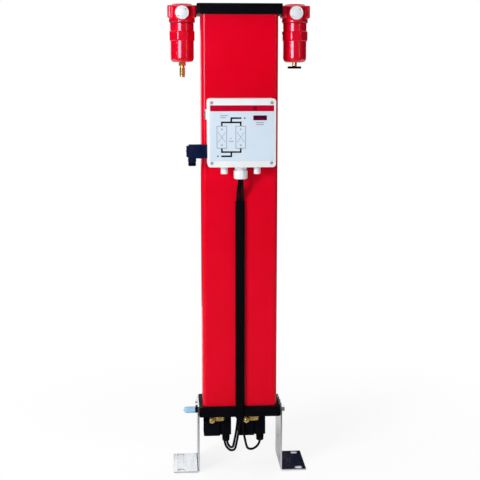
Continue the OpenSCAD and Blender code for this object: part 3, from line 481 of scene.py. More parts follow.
silencer_blue, silencer_place = finish("porous_pale_blue", (0.4, 0.7, 0.9), 0.65)
silencer_pores = silencer_place.node("ShaderNodeTexVoronoi", {"Vector": silencer_place, "Scale": 1400.0})
feed(
    silencer_blue,
    Base_Color=silencer_pores.within(0.1, 0.6).mixed((0.44, 0.73, 0.92), (0.32, 0.6, 0.82)),
    Normal=bump(silencer_pores, 0.0002),
)
SILENCER_R, SILENCER_NOSE = 6.5, 17.5
silencer_profile = [(0.0, 0.0), (SILENCER_R - 0.5, 0.0), (SILENCER_R, 0.5)]
for groove in (3.5, 7.0, 10.5, 14.0):
    silencer_profile += [(SILENCER_R, groove), (SILENCER_R - 0.3, groove + 0.4), (SILENCER_R, groove + 0.8)]
silencer_profile += rounding(0.0, SILENCER_NOSE, SILENCER_R, 0.0, 90.0, 8)
silencer_bm = placed(turned(silencer_profile, 48), at(-90.5, -26.0, 125.0) @ about("Y", -90.0))
piece("silencer_thimble", silencer_bm, silencer_blue, ["silencer"])


# Filter heads: die-cast aluminium with a red enamel, round under a square port block,
# with a round front boss. They hang on threaded nipples at the ends of the top plate.
PORT_Z, DISC_Z = 926.0, 920.5
HEAD_Z, HEAD_TOP = 902.0, 935.0
SKIRT_R, HEAD_R, CAP_R, BOSS_R = 25.5, 25.0, 19.5, 14.5
FILTER_X = 111.0
BOSS_FRONT = 27.5


def to_front(x, y, z):
    """A place that turns a part standing on Z to face the front."""
    return at(x, y, z) @ about("X", 90.0)


def to_right(x, y, z):
    """A place that turns a part standing on Z to face the right side."""
    return at(x, y, z) @ about("Y", 90.0)


def upright_edges(bm):
    return [e for e in bm.edges if abs(e.verts[0].co.z - e.verts[1].co.z) > 1e-6]


def rim_edges(bm):
    """The edges round the two flat ends of a part that stands on Z."""
    return [e for e in bm.edges if any(abs(f.normal.z) > 0.99 for f in e.link_faces)]


def round_off(bm, edges, width, segments):
    bmesh.ops.bevel(
        bm, geom=edges, offset=width * MM, segments=segments, profile=0.5, affect="EDGES", material=-1
    )


def block(x, y, z, corner, rim, segments=5):
    """A block standing on Z, with rounded uprights and a softened rim at both ends."""
    bm = bmesh.new()
    bmesh.ops.create_cube(bm, size=MM, matrix=Matrix.Diagonal((x, y, z, 1.0)))
    if corner:
        round_off(bm, upright_edges(bm), corner, segments)
    if rim:
        round_off(bm, rim_edges(bm), rim, 3)
    return bm


def carved(bm, cutters, modifiers=()):
    """The bmesh after a few modifiers, with cutters taken away from it."""

    def blank_of(name, shape):
        mesh = bpy.data.meshes.new(name)
        bmesh.ops.recalc_face_normals(shape, faces=shape.faces)
        shape.to_mesh(mesh)
        shape.free()
        made = bpy.data.objects.new(name, mesh)
        scene.collection.objects.link(made)
        return made

    blank = blank_of("blank", bm)
    for kind, settings in modifiers:
        modifier = blank.modifiers.new(kind, kind)
        for key, value in settings.items():
            setattr(modifier, key, value)
    tools = [blank_of("tool", cutter) for cutter in cutters]
    for tool in tools:
        modifier = blank.modifiers.new("cut", "BOOLEAN")
        modifier.operation, modifier.solver, modifier.object = "DIFFERENCE", "EXACT", tool
    result = bmesh.new()
    result.from_object(blank, bpy.context.evaluated_depsgraph_get())
    for made in [blank, *tools]:
        mesh = made.data
        bpy.data.objects.remove(made)
        bpy.data.meshes.remove(mesh)
    return result


cast_enamel, cast_place = finish("cast_red_enamel", RED, 0.16, Coat_Weight=0.8, Coat_Roughness=0.05)
cast_skin = noise(cast_place, 260.0, detail=3.0)
feed(
    cast_enamel,
    Base_Color=noise(cast_place, 40.0).within(0.3, 0.7).mixed((0.7, 0.0, 0.014), (0.78, 0.0, 0.022)),
    Roughness=cast_skin.within(0.3, 0.7, 0.12, 0.22),
    Normal=bump(cast_skin, 0.00006),
)


def filter_head():
    """The right-hand head, its axis on Z at the origin."""
    body = [(0, HEAD_Z), (SKIRT_R, HEAD_Z), (SKIRT_R, HEAD_Z + 5), (HEAD_R, HEAD_Z + 5.5)]
    body += [(HEAD_R, HEAD_TOP - 1.5), (HEAD_R - 1.5, HEAD_TOP), (0, HEAD_TOP)]
    cap = [(0, HEAD_TOP - 3), (CAP_R, HEAD_TOP - 3), (CAP_R, HEAD_TOP + 1.8)]
    cap += [(CAP_R - 1.2, HEAD_TOP + 3), (0, HEAD_TOP + 3)]
    boss = [(0, 0), (BOSS_R, 0), (BOSS_R, BOSS_FRONT - 0.8), (BOSS_R - 0.8, BOSS_FRONT), (0, BOSS_FRONT)]
    shells = bmesh.new()
    put(shells, turned(body))
    put(shells, turned(cap))
    put(shells, block(56.6, 34, 24, 5, 1.5), at(0, 0, 923))
    put(shells, turned(boss), to_front(0, 0, DISC_Z))
    port = turned([(0, 0), (5.7, 0), (5.7, 13), (7.2, 14.4), (7.2, 20), (0, 20)], 48)
    seat = turned([(0, -1), (13.2, -1), (13.2, 1), (0, 1)], 64)
    cavity = turned([(0, -2), (21, -2), (21, 9), (15, 9), (15, 24), (0, 24)], 64)
    cuts = [placed(port, to_right(15.3, 0, PORT_Z)), placed(seat, to_front(0, -BOSS_FRONT, DISC_Z))]
    cuts.append(placed(cavity, at(0, 0, HEAD_Z)))
    fused = ("REMESH", {"mode": "VOXEL", "voxel_size": 0.9 * MM})
    softened = ("SMOOTH", {"factor": 0.5, "iterations": 3})
    return carved(shells, cuts, [fused, softened])


FILTERS = ((-1, "prefilter"), (1, "afterfilter"))
for side, name in FILTERS:
    head_bm = placed(filter_head(), at(side * FILTER_X, 0, 0) @ Matrix.Diagonal((side, 1, 1, 1)))
    piece(name + "_casting", head_bm, cast_enamel, [name + "_head"], sharp=50.0)
dress(steel, "prefilter_nipple", "afterfilter_nipple")
dress(gasket_rubber, "prefilter_seal", "afterfilter_seal")


# Filter bowls: deep-drawn and enamelled red, with an eight-sided grip band under the neck
# and a rounded foot. They screw up into the heads over a flat seal.
BOWL_RIM, BOWL_Z = 901.0, 826.0
BOWL_R, NECK_R, BORE_R, FOOT_R = 23.0, 20.9, 18.5, 8
BAND_R, BAND_H, BAND_DROP = 26.52, 19.0, 24.5


def prism(sides, radius, height):
    """An upright prism, its middle at the origin."""
    bm = bmesh.new()
    bmesh.ops.create_cone(
        bm, cap_ends=True, segments=sides, radius1=radius * MM, radius2=radius * MM, depth=height * MM
    )
    return bm


for side, name in FILTERS:
    bowl_profile = [(0, BOWL_Z), (BOWL_R - FOOT_R, BOWL_Z)]
    bowl_profile += rounding(BOWL_R - FOOT_R, BOWL_Z + FOOT_R, FOOT_R, -90, 0, 10)[1:]
    bowl_profile += [(BOWL_R, BOWL_RIM - 0.6), (BOWL_R - 0.6, BOWL_RIM), (NECK_R, BOWL_RIM)]
    bowl_profile += [(NECK_R, BOWL_RIM + 10), (BORE_R, BOWL_RIM + 10), (BORE_R, BOWL_Z + 12), (0, BOWL_Z + 8)]
    bowl_bm = bmesh.new()
    put(bowl_bm, turned(bowl_profile, 96), at(side * FILTER_X, 0, 0))
    band = placed(prism(8, BAND_R, BAND_H), about("Z", 22.5))
    round_off(band, upright_edges(band), 3.4, 5)
    round_off(band, rim_edges(band), 1.4, 4)
    put(bowl_bm, band, at(side * FILTER_X, 0, BOWL_RIM - BAND_DROP))
    piece(name + "_drawn_bowl", bowl_bm, cast_enamel, [name + "_bowl"], sharp=40.0)
media, media_place = finish("filter_media", (0.84, 0.84, 0.8), 0.85)
media_fibre = noise(media_place, 700.0, detail=4.0)
feed(
    media,
    Base_Color=media_fibre.mixed((0.76, 0.76, 0.71), (0.9, 0.9, 0.87)),
    Normal=bump(media_fibre, 0.0002),
)
dress(media, "prefilter_element", "afterfilter_element")


# Front discs: plain white plates with a fine turned groove, seated in the heads' bosses
# and each held by two small drive rivets on a diagonal.
disc_white, disc_place = finish("disc_white", (0.78, 0.83, 0.88), 0.3, Coat_Weight=0.3)
disc_haze = noise(disc_place, 90.0)
feed(
    disc_white,
    Base_Color=disc_haze.within(0.3, 0.7).mixed((0.74, 0.8, 0.86), (0.82, 0.86, 0.9)),
    Roughness=noise(disc_place, 500.0).within(0.3, 0.7, 0.25, 0.4),
)
DISC_R, DISC_T = 13, 1.2
RIVET_R, RIVET_X, RIVET_Z = 1.2, 6.9, 6.5
disc_profile = [(0, 0), (DISC_R, 0), (DISC_R, 0.9), (12.7, DISC_T), (11.9, DISC_T), (11.7, 1.08)]
disc_profile += [(11.5, DISC_T), (0, DISC_T)]
rivet_profile = [(0, 0), (RIVET_R, 0)] + rounding(0.0, 0.0, RIVET_R, 20, 90, 4)
for side, name in FILTERS:
    disc_bm = placed(turned(disc_profile, 72), to_front(side * FILTER_X, -BOSS_FRONT + 1, DISC_Z))
    piece(name + "_front_disc", disc_bm, disc_white, [name + "_disc"])
    rivet_bm = bmesh.new()
    for sign in (-1, 1):
        rivet_place = to_front(side * FILTER_X + sign * RIVET_X, -BOSS_FRONT - 0.15, DISC_Z + sign * RIVET_Z)
        put(rivet_bm, turned(rivet_profile, 20), rivet_place)
    piece(name + "_disc_rivets", rivet_bm, steel)


# Drains: turned brass. The left one is automatic, a hexagon over a barbed hose tail; the right one
# is opened by hand with a dark wing that turns on its stub.
brass, brass_place = finish("turned_brass", (0.86, 0.6, 0.2), 0.2, Metallic=0.85)
ring_sockets = {"Vector": brass_place, "Scale": 700.0, "Distortion": 1.5, "Detail": 2.0}
brass_rings = brass_place.node("ShaderNodeTexWave", ring_sockets, out="Fac", bands_direction="Z")
brass_age = noise(brass_place, 140.0)
feed(
    brass,
    Base_Color=brass_age.within(0.3, 0.75).mixed((0.94, 0.75, 0.27), (0.73, 0.49, 0.13)),
    Roughness=brass_age.within(0.3, 0.7, 0.14, 0.28),
    Normal=bump(brass_rings, 0.00002),
)


def hexagon(flats, height, ease=0.6):
    """A hexagonal nut blank on Z with eased corners, its middle at the origin."""
    bm = prism(6, flats / math.sqrt(3.0), height)
    round_off(bm, rim_edges(bm), ease, 2)
    return bm


TAIL_R, BARB_R, TAIL_BORE = 5.1, 5.75, 2.0
TAIL_FOOT = BOWL_Z - 29
tail_profile = [(TAIL_BORE, TAIL_FOOT + 6), (TAIL_BORE, TAIL_FOOT)]
tail_profile += [(TAIL_R - 0.5, TAIL_FOOT), (TAIL_R, TAIL_FOOT + 0.6)]
for barb in (3.6, 8.4, 13.2):
    barb_foot = TAIL_FOOT + barb
    tail_profile += [(TAIL_R, barb_foot), (BARB_R, barb_foot + 3.6), (TAIL_R, barb_foot + 3.9)]
tail_profile += [(TAIL_R, TAIL_FOOT + 19), (4.4, TAIL_FOOT + 19), (4.4, TAIL_FOOT + 22.5)]
tail_profile += [(0.0, TAIL_FOOT + 22.5), (0.0, TAIL_FOOT + 6), (TAIL_BORE, TAIL_FOOT + 6)]
drain_bm = bmesh.new()
put(drain_bm, hexagon(14, 7), at(-FILTER_X, 0, BOWL_Z - 3.5))
put(drain_bm, turned(tail_profile, 48), at(-FILTER_X, 0, 0))
piece("automatic_drain", drain_bm, brass, ["prefilter_drain"])

STUB_R, STUB_BORE = 4.6, 2.26
stub_profile = [(0, 2), (3, 2), (3, 0), (STUB_R - 0.5, 0), (STUB_R, -0.5), (STUB_R, -2.6), (4.2, -3)]
stub_profile += [(STUB_R, -3.4), (STUB_R, -6.6), (4.2, -7), (STUB_BORE, -7), (STUB_BORE, -0.8), (0, -0.8)]
stub_bm = placed(turned([(r, BOWL_Z + z) for r, z in stub_profile], 48), at(FILTER_X, 0, 0))
piece("hand_drain_stub", stub_bm, brass, ["afterfilter_drain"])

black_plastic, plastic_place = finish("black_moulding", (0.0016, 0.0026, 0.005), 0.4, Specular_IOR_Level=0.06)
plastic_grain = noise(plastic_place, 1100.0)
plastic_flow = noise(plastic_place, 30.0)
feed(
    black_plastic,
    Base_Color=plastic_flow.within(0.3, 0.7).mixed((0.0012, 0.0021, 0.0042), (0.0022, 0.0032, 0.006)),
    Roughness=plastic_flow.within(0.3, 0.7, 0.36, 0.5),
    Normal=bump(plastic_grain, 0.00005),
)
WING_TOP = BOWL_Z - 7.3
BLADE_L = 10.2
wing_profile = [(0, -5), (4.1, -5), (STUB_R, -4.5), (STUB_R, -0.4), (4.2, 0), (2.2, 0), (2.2, 6), (0, 6)]
wing_bm = bmesh.new()
put(wing_bm, turned([(r, WING_TOP + z) for r, z in wing_profile], 40), at(FILTER_X, 0, 0))
for sign in (-1, 1):
    blade = block(BLADE_L, 4.6, 4.5, 2.2, 0.6)
    for vert in blade.verts:
        vert.co.y *= 0.72 + 0.28 * (0.5 + sign * vert.co.x / (BLADE_L * MM))
    put(wing_bm, blade, at(FILTER_X + sign * 8.4, 0, WING_TOP - 2.75))
piece("drain_wing_grip", wing_bm, black_plastic, ["drain_wing"], body="wing")


# Controller box: a white moulded base and cover with a dark rubber seal between them, closed by
# four slotted corner screws and held to the column by a zinc-plated rail.
BOX, BOX_Z = 130.0, 692.0
BOX_FOOT = BOX_Z - BOX / 2
BOX_BACK, BASE_FRONT = 43.0, 81.0
COVER_BACK, BOX_FRONT = 81.8, 101.8
BOX_CORNER, BOX_WALL = 6, 3
SCREW_AT = 57.0
BOX_CORNERS = [(x, z) for x in (-SCREW_AT, SCREW_AT) for z in (-SCREW_AT, SCREW_AT)]
WINDOW_X, WINDOW_Z = 34.45, 28.6
MAINS_Y, MAINS_Z = -62.0, 655.0
white_plastic, white_place = finish("white_moulding", (0.83, 0.87, 0.89), 0.34, Specular_IOR_Level=0.45)
white_grain = noise(white_place, 1300.0)
white_flow = noise(white_place, 14.0)
feed(
    white_plastic,
    Base_Color=white_flow.within(0.3, 0.7).mixed((0.81, 0.855, 0.88), (0.85, 0.885, 0.9)),
    Roughness=white_flow.within(0.3, 0.7, 0.3, 0.4),
    Normal=bump(white_grain, 0.00003),
)


def box_shell(back, front):
    """A square shell of the box between two depths, still solid."""
    return placed(block(BOX, BOX, front - back, BOX_CORNER, 0.8, 8), to_front(0, -(back + front) / 2, BOX_Z))


def box_room(depth, middle):
    """The room inside such a shell."""
    inner = BOX - 2 * BOX_WALL
    return placed(block(inner, inner, depth, 4.5, 0, 8), to_front(0, -middle, BOX_Z))


def bore(radius, place):
    """A short bore through a wall of the box."""
    return placed(turned([(0, 0), (radius, 0), (radius, 6), (0, 6)], 40), place)


base_cuts = [box_room(60, BOX_BACK + 33)]
for gland_x, gland_r in ((0.0, 9.6), (-32.0, 5.3), (32.0, 5.3)):
    base_cuts.append(bore(gland_r, at(gland_x, GLAND_Y, BOX_FOOT - 1.5)))
base_cuts.append(bore(8.1, to_right(-BOX / 2 - 1.5, MAINS_Y, MAINS_Z)))
base_bm = carved(box_shell(BOX_BACK, BASE_FRONT), base_cuts)
piece("controller_base", base_bm, white_plastic, ["box_base"])

well_profile = [(0, 0), (3.2, 0), (3.2, 1.6), (4.2, 2.6), (4.2, 5), (0, 5)]
cover_cuts = [box_room(40, BOX_FRONT - BOX_WALL - 20)]
for x, z in BOX_CORNERS:
    cover_cuts.append(placed(turned(well_profile, 40), to_front(x, -BOX_FRONT + 2.0, BOX_Z + z)))
window_cut = block(26.2, 9.2, 12, 0.8, 0)
cover_cuts.append(placed(window_cut, to_front(WINDOW_X, -BOX_FRONT + 2, BOX_Z + WINDOW_Z)))
cover_bm = carved(box_shell(COVER_BACK, BOX_FRONT), cover_cuts)
piece("controller_cover", cover_bm, white_plastic, ["box_cover"])

screw_profile = [(0, 0), (3, 0), (3, 1.2), (2.5, 1.7), (0, 1.8)]
screw_bm = bmesh.new()
for x, z in BOX_CORNERS:
    slotted = carved(turned(screw_profile, 32), [placed(block(8, 0.8, 1.6, 0, 0), at(0, 0, 1.9))])
    slot_turn = about("Z", 35.0 + x + 0.4 * z)
    put(screw_bm, slotted, to_front(x, -BOX_FRONT + 1.95, BOX_Z + z) @ slot_turn)
screw_grey, screw_place = finish("screw_grey", (0.36, 0.39, 0.41), 0.42)
screw_rings = noise(screw_place, 500.0)
feed(
    screw_grey,
    Base_Color=screw_rings.within(0.3, 0.7).mixed((0.32, 0.35, 0.37), (0.41, 0.44, 0.46)),
    Roughness=screw_rings.within(0.3, 0.7, 0.36, 0.5),
)
piece("cover_screw_heads", screw_bm, screw_grey, ["cover_screws"])
dress(gasket_rubber, "box_seal")
dress(zinc, "box_rail")
eased(0.3, "box_rail")
dress(steel, "rail_screws")
board_green, board_place = finish("board_lacquer", (0.03, 0.14, 0.07), 0.4)
board_sockets = {"Vector": board_place, "Scale": 160.0}
board_tracks = board_place.node("ShaderNodeTexVoronoi", board_sockets, distance="MANHATTAN")
feed(board_green, Base_Color=board_tracks.within(0.2, 0.6).mixed((0.02, 0.1, 0.05), (0.06, 0.22, 0.11)))
dress(board_green, "controller_board")
window_dark, window_place = finish("tinted_window", (0.08, 0.002, 0.02), 0.08, Specular_IOR_Level=0.14)
window_cells = noise(window_place, 420.0)
feed(
    window_dark,
    Base_Color=window_cells.within(0.35, 0.7).mixed((0.065, 0.0012, 0.016), (0.105, 0.003, 0.028)),
    Roughness=window_cells.within(0.3, 0.7, 0.06, 0.14),
)
dress(window_dark, "display_window")
eased(0.3, "display_window")


# Front foil: a thin printed label on the cover with a red header, an opening for the display,
# and a plain flow diagram of two vessels joined by pipes at the top and the foot.
FOIL_T, PRINT_T = 0.25, 0.08
FOIL_X = 0.2
PRINT_Y = BOX_FRONT + FOIL_T + PRINT_T / 2
foil_blue, foil_place = finish("foil_pale_blue", (0.64, 0.76, 0.87), 0.4)
foil_grain = noise(foil_place, 1700.0)
feed(
    foil_blue,
    Base_Color=noise(foil_place, 22.0).within(0.3, 0.7).mixed((0.62, 0.745, 0.855), (0.66, 0.775, 0.88)),
    Roughness=foil_grain.within(0.3, 0.7, 0.36, 0.46),
    Normal=bump(foil_grain, 0.00002),
)
foil_blank = placed(block(121.4, 105.6, FOIL_T, 3, 0), to_front(FOIL_X, -BOX_FRONT - FOIL_T / 2, BOX_Z - 0.5))
foil_window = placed(block(26.4, 9.4, 4, 0.9, 0), to_front(WINDOW_X, -BOX_FRONT, BOX_Z + WINDOW_Z))
piece("front_foil", carved(foil_blank, [foil_window]), foil_blue)


def printed(bm, x, z, width, height, turn=0.0, corner=0.0, lift=0.0):
    """A printed bar on the foil, centred at x and z from the box's middle."""
    bar = block(width, height, PRINT_T, corner, 0, 3)
    put(bm, bar, to_front(x, -PRINT_Y - lift, BOX_Z + z) @ about("Z", turn))


def printed_spot(bm, x, z, radius):
    put(bm, prism(24, radius, PRINT_T), to_front(x, -PRINT_Y, BOX_Z + z))


def ink(name, low, high):
    """A printing ink whose tone varies a little between two colours."""
    made, place = finish(name, low, 0.45, Specular_IOR_Level=0.06)
    dots = noise(place, 2200.0)
    feed(made, Base_Color=dots.within(0.3, 0.7).mixed(low, high), Roughness=dots.within(0.3, 0.7, 0.34, 0.46))
    return made


HEADER_Z, HEADER_H = 46.6, 11.2
header_bm = bmesh.new()
printed(header_bm, FOIL_X, HEADER_Z, 121.2, HEADER_H, corner=0.4)
piece("foil_header", header_bm, ink("red_ink", (0.455, 0.0, 0.018), (0.52, 0.0, 0.023)))

mark_bm = bmesh.new()
printed(mark_bm, 24.8, HEADER_Z, 6.6, 6.6, lift=PRINT_T)
piece("header_mark", mark_bm, ink("maroon_ink", (0.1, 0.0, 0.008), (0.15, 0.002, 0.014)))

VESSEL_X = (-38.2, -2.4)
VESSEL_FOOT, VESSEL_TOP, VESSEL_W = -28.6, 13.0, 18.4
PIPE, RISER, STEM = 3.1, 7.2, 8.0
FINE_LINE, HAIR_LINE, TEXT_LINE = 1.2, 0.8, 1.5
pipes_bm = bmesh.new()
middle = sum(VESSEL_X) / 2
for end, away in ((VESSEL_TOP, 1), (VESSEL_FOOT, -1)):
    manifold = end + away * RISER
    printed(pipes_bm, middle, manifold, VESSEL_X[1] - VESSEL_X[0] + PIPE, PIPE)
    for vessel in VESSEL_X:
        printed(pipes_bm, vessel, end + away * RISER / 2, PIPE, RISER)
    printed(pipes_bm, middle, manifold + away * STEM / 2, PIPE, STEM)
    printed(pipes_bm, middle + away * 9.0, manifold + away * STEM, 20.6, PIPE)
    printed_spot(pipes_bm, middle + away * 25.6, manifold + away * STEM, 1.5)
piece("foil_pipes", pipes_bm, ink("black_ink", (0.004, 0.005, 0.008), (0.009, 0.01, 0.014)))

vessels_bm = bmesh.new()
vessel_mid, vessel_h = (VESSEL_TOP + VESSEL_FOOT) / 2, VESSEL_TOP - VESSEL_FOOT
for vessel in VESSEL_X:
    for sign in (-1, 1):
        printed(vessels_bm, vessel + sign * VESSEL_W / 2, vessel_mid, FINE_LINE, vessel_h + FINE_LINE)
        printed(vessels_bm, vessel, vessel_mid + sign * vessel_h / 2, VESSEL_W, FINE_LINE)
    for sign in (-1, 1):
        printed(vessels_bm, vessel, vessel_mid, HAIR_LINE, 24.0, turn=sign * 36.0)
        printed_spot(vessels_bm, vessel, vessel_mid + sign * 15.0, 1.6)
printed_spot(vessels_bm, -21.0, -10.4, 1.2)
upper_lines = [(-34.0, 33.0, 14.0), (-36.0, 29.4, 10.0), (34.0, 19.5, 16.0), (34.0, 15.8, 14.0)]
for x, z, width in [*upper_lines, (-20.6, -15.6, 9.0)]:
    printed(vessels_bm, x, z, width, TEXT_LINE)
piece("foil_vessels", vessels_bm, ink("grey_ink", (0.27, 0.3, 0.35), (0.34, 0.37, 0.42)))


# Cable glands: white moulded fittings under the box. The large one has a lobed dome nut that the
# leads leave; the two small ones are closed by blind inserts.
COLLAR_H, COLLAR_BORE = 6.5, 6.5
collar_profile = [(COLLAR_BORE, -9), (10.6, -9), (10.6, -6), (9.5, -6), (9.5, 8)]
collar_profile += [(COLLAR_BORE, 8), (COLLAR_BORE, -9)]
collar_bm = bmesh.new()
put(collar_bm, hexagon(23.0, COLLAR_H, 0.8), at(0, GLAND_Y, BOX_FOOT - COLLAR_H / 2))
put(collar_bm, turned([(r, BOX_FOOT + z) for r, z in collar_profile], 48), at(0, GLAND_Y, 0))
piece("large_gland_collar", collar_bm, white_plastic, ["main_gland"])

NUT_TOP, NUT_FOOT, NUT_R, NUT_LOBES = 618.0, 601.0, 13.5, 12
nut_profile = [(0, NUT_FACE), (6.0, NUT_FACE), (6.4, NUT_FOOT + 0.4), (7.0, NUT_FOOT)]
nut_profile += rounding(NUT_R - 4, NUT_FOOT + 4, 4, -90, 0, 6)
nut_profile += [(NUT_R, NUT_TOP - 12), (NUT_R, NUT_TOP - 4), (NUT_R, NUT_TOP - 0.8)]
nut_profile += [(NUT_R - 0.8, NUT_TOP), (0, NUT_TOP)]
large_nut_bm = turned(nut_profile, 96)
for vert in large_nut_bm.verts:
    if math.hypot(vert.co.x, vert.co.y) > 12.0 * MM and vert.co.z > (NUT_FOOT + 6) * MM:
        lobe = 1.0 - 0.055 * max(0.0, math.cos(NUT_LOBES * math.atan2(vert.co.y, vert.co.x)))
        vert.co.x, vert.co.y = vert.co.x * lobe, vert.co.y * lobe
placed(large_nut_bm, at(0, GLAND_Y, 0))
piece("large_gland_nut", large_nut_bm, white_plastic, ["main_gland_nut"])

small_profile = [(0, -14.6), (3.2, -14.6), (3.6, -15.8), (4.4, -16)] + rounding(4.7, -14, 2, -80, 0, 5)
small_profile += [(6.7, -8.6), (6.2, -8), (6.2, -7), (6.7, -6.4), (6.7, -5), (5.2, -4.5), (5.2, 7), (0, 7)]
for side, node in ((-1, "left_gland"), (1, "right_gland")):
    small_bm = bmesh.new()
    put(small_bm, hexagon(13.4, 4.5, 0.5), at(side * 32, GLAND_Y, BOX_FOOT - 2.25))
    put(small_bm, turned(small_profile, 48), at(side * 32, GLAND_Y, BOX_FOOT))
    piece(node + "_fitting", small_bm, white_plastic, [node])


# Mains connector: a dark moulded square plug on a flanged socket at the box's left side, its gland
# turned down and closed by a ribbed nut.
PLUG_SIDE, PLUG_CORNER = 26, 2.5
PLUG_GLAND_X, MAINS_NUT_RIBS = -94, 20
navy_plastic, navy_place = finish("navy_moulding", (0.002, 0.0085, 0.036), 0.4, Specular_IOR_Level=0.06)
navy_grain = noise(navy_place, 1100.0)
navy_flow = noise(navy_place, 40.0)
feed(
    navy_plastic,
    Base_Color=navy_flow.within(0.3, 0.7).mixed((0.0016, 0.007, 0.03), (0.0026, 0.01, 0.043)),
    Roughness=navy_flow.within(0.3, 0.7, 0.36, 0.5),
    Normal=bump(navy_grain, 0.00005),
)
socket_bm = bmesh.new()
put(socket_bm, block(PLUG_SIDE, PLUG_SIDE, 5, PLUG_CORNER, 0.6), to_right(-67.5, MAINS_Y, MAINS_Z))
put(socket_bm, turned([(0, 0), (8, 0), (8, 7), (0, 7)], 40), to_right(-66, MAINS_Y, MAINS_Z))
piece("mains_socket_flange", socket_bm, navy_plastic, ["mains_socket"])

plug_bm = bmesh.new()
put(plug_bm, block(PLUG_SIDE, PLUG_SIDE, 30.4, PLUG_CORNER, 0.8), to_right(-85.5, MAINS_Y, MAINS_Z))
put(plug_bm, block(21, 21, 6, 2.2, 0.8), to_right(-102, MAINS_Y, MAINS_Z))
for rib_x in (-80.5, -77.5, -74.5):
    put(plug_bm, block(27, 27, 1.2, 2.8, 0.3), to_right(rib_x, MAINS_Y, MAINS_Z))
plug_gland_profile = [(0, -21), (7.6, -21), (8, -20.6), (8, -9), (0, -9)]
put(plug_bm, turned(plug_gland_profile, 40), at(PLUG_GLAND_X, MAINS_Y, MAINS_Z))
piece("mains_plug_body", plug_bm, navy_plastic, ["mains_plug"])

plug_screw_head = turned([(0, 0), (3.2, 0), (3.2, 0.9), (2.8, 1.3), (0, 1.3)], 28)
plug_screw_bm = carved(plug_screw_head, [placed(block(8, 0.8, 1.4, 0, 0), at(0, 0, 1.3))])
placed(plug_screw_bm, at(-104.4, MAINS_Y, MAINS_Z) @ about("Y", -90.0))
piece("mains_plug_screw", plug_screw_bm, zinc)

mains_nut_profile = [(0, -27.4), (4.8, -27.4), (5.0, -27.8), (6.9, -28), (7.5, -27.4), (8, -22.5)]
mains_nut_profile += [(6.5, -22.5), (6.5, -21), (0, -21)]
mains_nut_bm = turned(mains_nut_profile, 60)
for vert in mains_nut_bm.verts:
    if math.hypot(vert.co.x, vert.co.y) > 7.2 * MM:
        rib = 1.0 - 0.05 * (0.5 + 0.5 * math.cos(MAINS_NUT_RIBS * math.atan2(vert.co.y, vert.co.x)))
        vert.co.x, vert.co.y = vert.co.x * rib, vert.co.y * rib
placed(mains_nut_bm, at(PLUG_GLAND_X, MAINS_Y, MAINS_Z))
piece("mains_gland_nut", mains_nut_bm, black_plastic, ["mains_plug_nut"])


# Cable sleeve: a flat black braided sleeve against the column's front. It holds the three leads
# and passes through the notch in the bottom plate.
SLEEVE_W, SLEEVE_T, SLEEVE_WALL = 18, 8, 1.2
sleeve_black, sleeve_place = finish("braided_sleeve", (0.002, 0.002, 0.003), 0.6, Specular_IOR_Level=0.03)


def strands(degrees):
    """Bands of strands that cross the sleeve's front at an angle."""
    across = sleeve_place.node("ShaderNodeMapping", {0: sleeve_place, 2: (0.0, math.radians(degrees), 0.0)})
    sockets = {"Vector": across, "Scale": 170.0, "Distortion": 0.0}
    return sleeve_place.node("ShaderNodeTexWave", sockets, out="Fac")


braid = sleeve_place.math("MAXIMUM", strands(45.0), strands(-45.0))
feed(
    sleeve_black,
    Base_Color=braid.mixed((0.0012, 0.0012, 0.002), (0.003, 0.003, 0.0045)),
    Roughness=braid.within(0.0, 1.0, 0.7, 0.5),
    Normal=bump(braid, 0.00018),
)
sleeve_h = SLEEVE_TOP - SLEEVE_FOOT
sleeve_middle = at(0, SLEEVE_Y, (SLEEVE_TOP + SLEEVE_FOOT) / 2)
sleeve_blank = placed(block(SLEEVE_W, SLEEVE_T, sleeve_h, 3.2, 0.4, 6), sleeve_middle)
room_w, room_t = SLEEVE_W - 2 * SLEEVE_WALL, SLEEVE_T - 2 * SLEEVE_WALL
sleeve_room = placed(block(room_w, room_t, sleeve_h + 4, 2.2, 0, 6), sleeve_middle)
sleeve_bm = carved(sleeve_blank, [sleeve_room])
piece("braided_cable_sleeve", sleeve_bm, sleeve_black, ["cable_sleeve"])


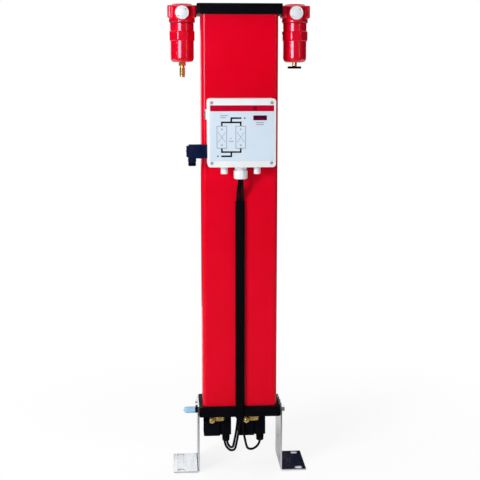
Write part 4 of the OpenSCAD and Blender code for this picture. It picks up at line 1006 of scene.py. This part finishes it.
# Exhaust valves: a turned brass body with a hexagon bleed screw in the bottom plate, a moulded coil
# below it and an angled plug beside the coil, its gland turned down.
BODY_R, BODY_BORE = 17, 4
BLEED_ASIDE, BLEED_Z = 13.5, 107.2
COIL_ASIDE, COIL_Z = 13.25, 88.5
body_profile = [(BODY_BORE, 123), (7, 123), (7, 115), (16.4, 115), (BODY_R, 114.4), (BODY_R, 110.4)]
body_profile += [(16.5, 110), (16.5, 109), (BODY_R, 108.6), (BODY_R, 104.6), (16.4, 104), (0, 104), (0, 106)]
body_profile += [(BODY_BORE, 106), (BODY_BORE, 123)]
bleed_profile = [(0, 0), (3.4, 0), (3.4, 0.5), (2.9, 0.8), (1.7, 0.8), (1.5, 0.2), (0, 0.2)]
coil_foot_profile = [(0, 69), (3.0, 69), (3.0, 69.8), (7.2, 69.8), (8, 70.6), (8, 74), (0, 74)]
plug_profile = [(0, 58.6), (4.8, 58.6), (5.2, 58), (6.8, 58), (7.4, 58.8), (8, 68.2), (7.2, 68.8)]
plug_profile += [(7.2, 69.8), (8, 70.4), (8, 76), (0, 76)]
for name, x in VALVE_X.items():
    body_bm = bmesh.new()
    put(body_bm, turned(body_profile, 64), at(x, VALVE_Y, 0))
    bleed_stem = turned([(0, 0), (2.9, 0), (2.9, 18), (0, 18)], 32)
    put(body_bm, bleed_stem, to_front(x - BLEED_ASIDE, VALVE_Y, BLEED_Z))
    put(body_bm, hexagon(10.5, 6, 0.6), to_front(x - BLEED_ASIDE, VALVE_Y - 20.3, BLEED_Z))
    put(body_bm, turned(bleed_profile, 24), to_front(x - BLEED_ASIDE, VALVE_Y - 23.3, BLEED_Z))
    piece("valve_" + name + "_brass", body_bm, brass, ["valve_body_" + name])

    coil_bm = bmesh.new()
    put(coil_bm, block(33.5, 34, 31, 3.5, 1.0), at(x - COIL_ASIDE, VALVE_Y, COIL_Z))
    for rib_z in (80.0, 97.0):
        put(coil_bm, block(34.1, 34.6, 1.4, 3.8, 0.4), at(x - COIL_ASIDE, VALVE_Y, rib_z))
    put(coil_bm, turned(coil_foot_profile, 40), at(x - 9, VALVE_Y, 0))
    piece("valve_" + name + "_coil_block", coil_bm, black_plastic, ["valve_coil_" + name])

    cap_bm = bmesh.new()
    put(cap_bm, block(22.5, 28, 30, 2.6, 0.9), at(x + 14.75, VALVE_Y, 89))
    put(cap_bm, block(8.7, 24, 12, 2.2, 0.8), at(x + 21.65, VALVE_Y, 106))
    put(cap_bm, block(20.5, 28.8, 1.2, 2.4, 0.3), at(x + 14.75, VALVE_Y, 98))
    put(cap_bm, turned(plug_profile, 48), at(x + PLUG_ASIDE, VALVE_Y, 0))
    piece("valve_" + name + "_plug_body", cap_bm, black_plastic, ["valve_plug_" + name])
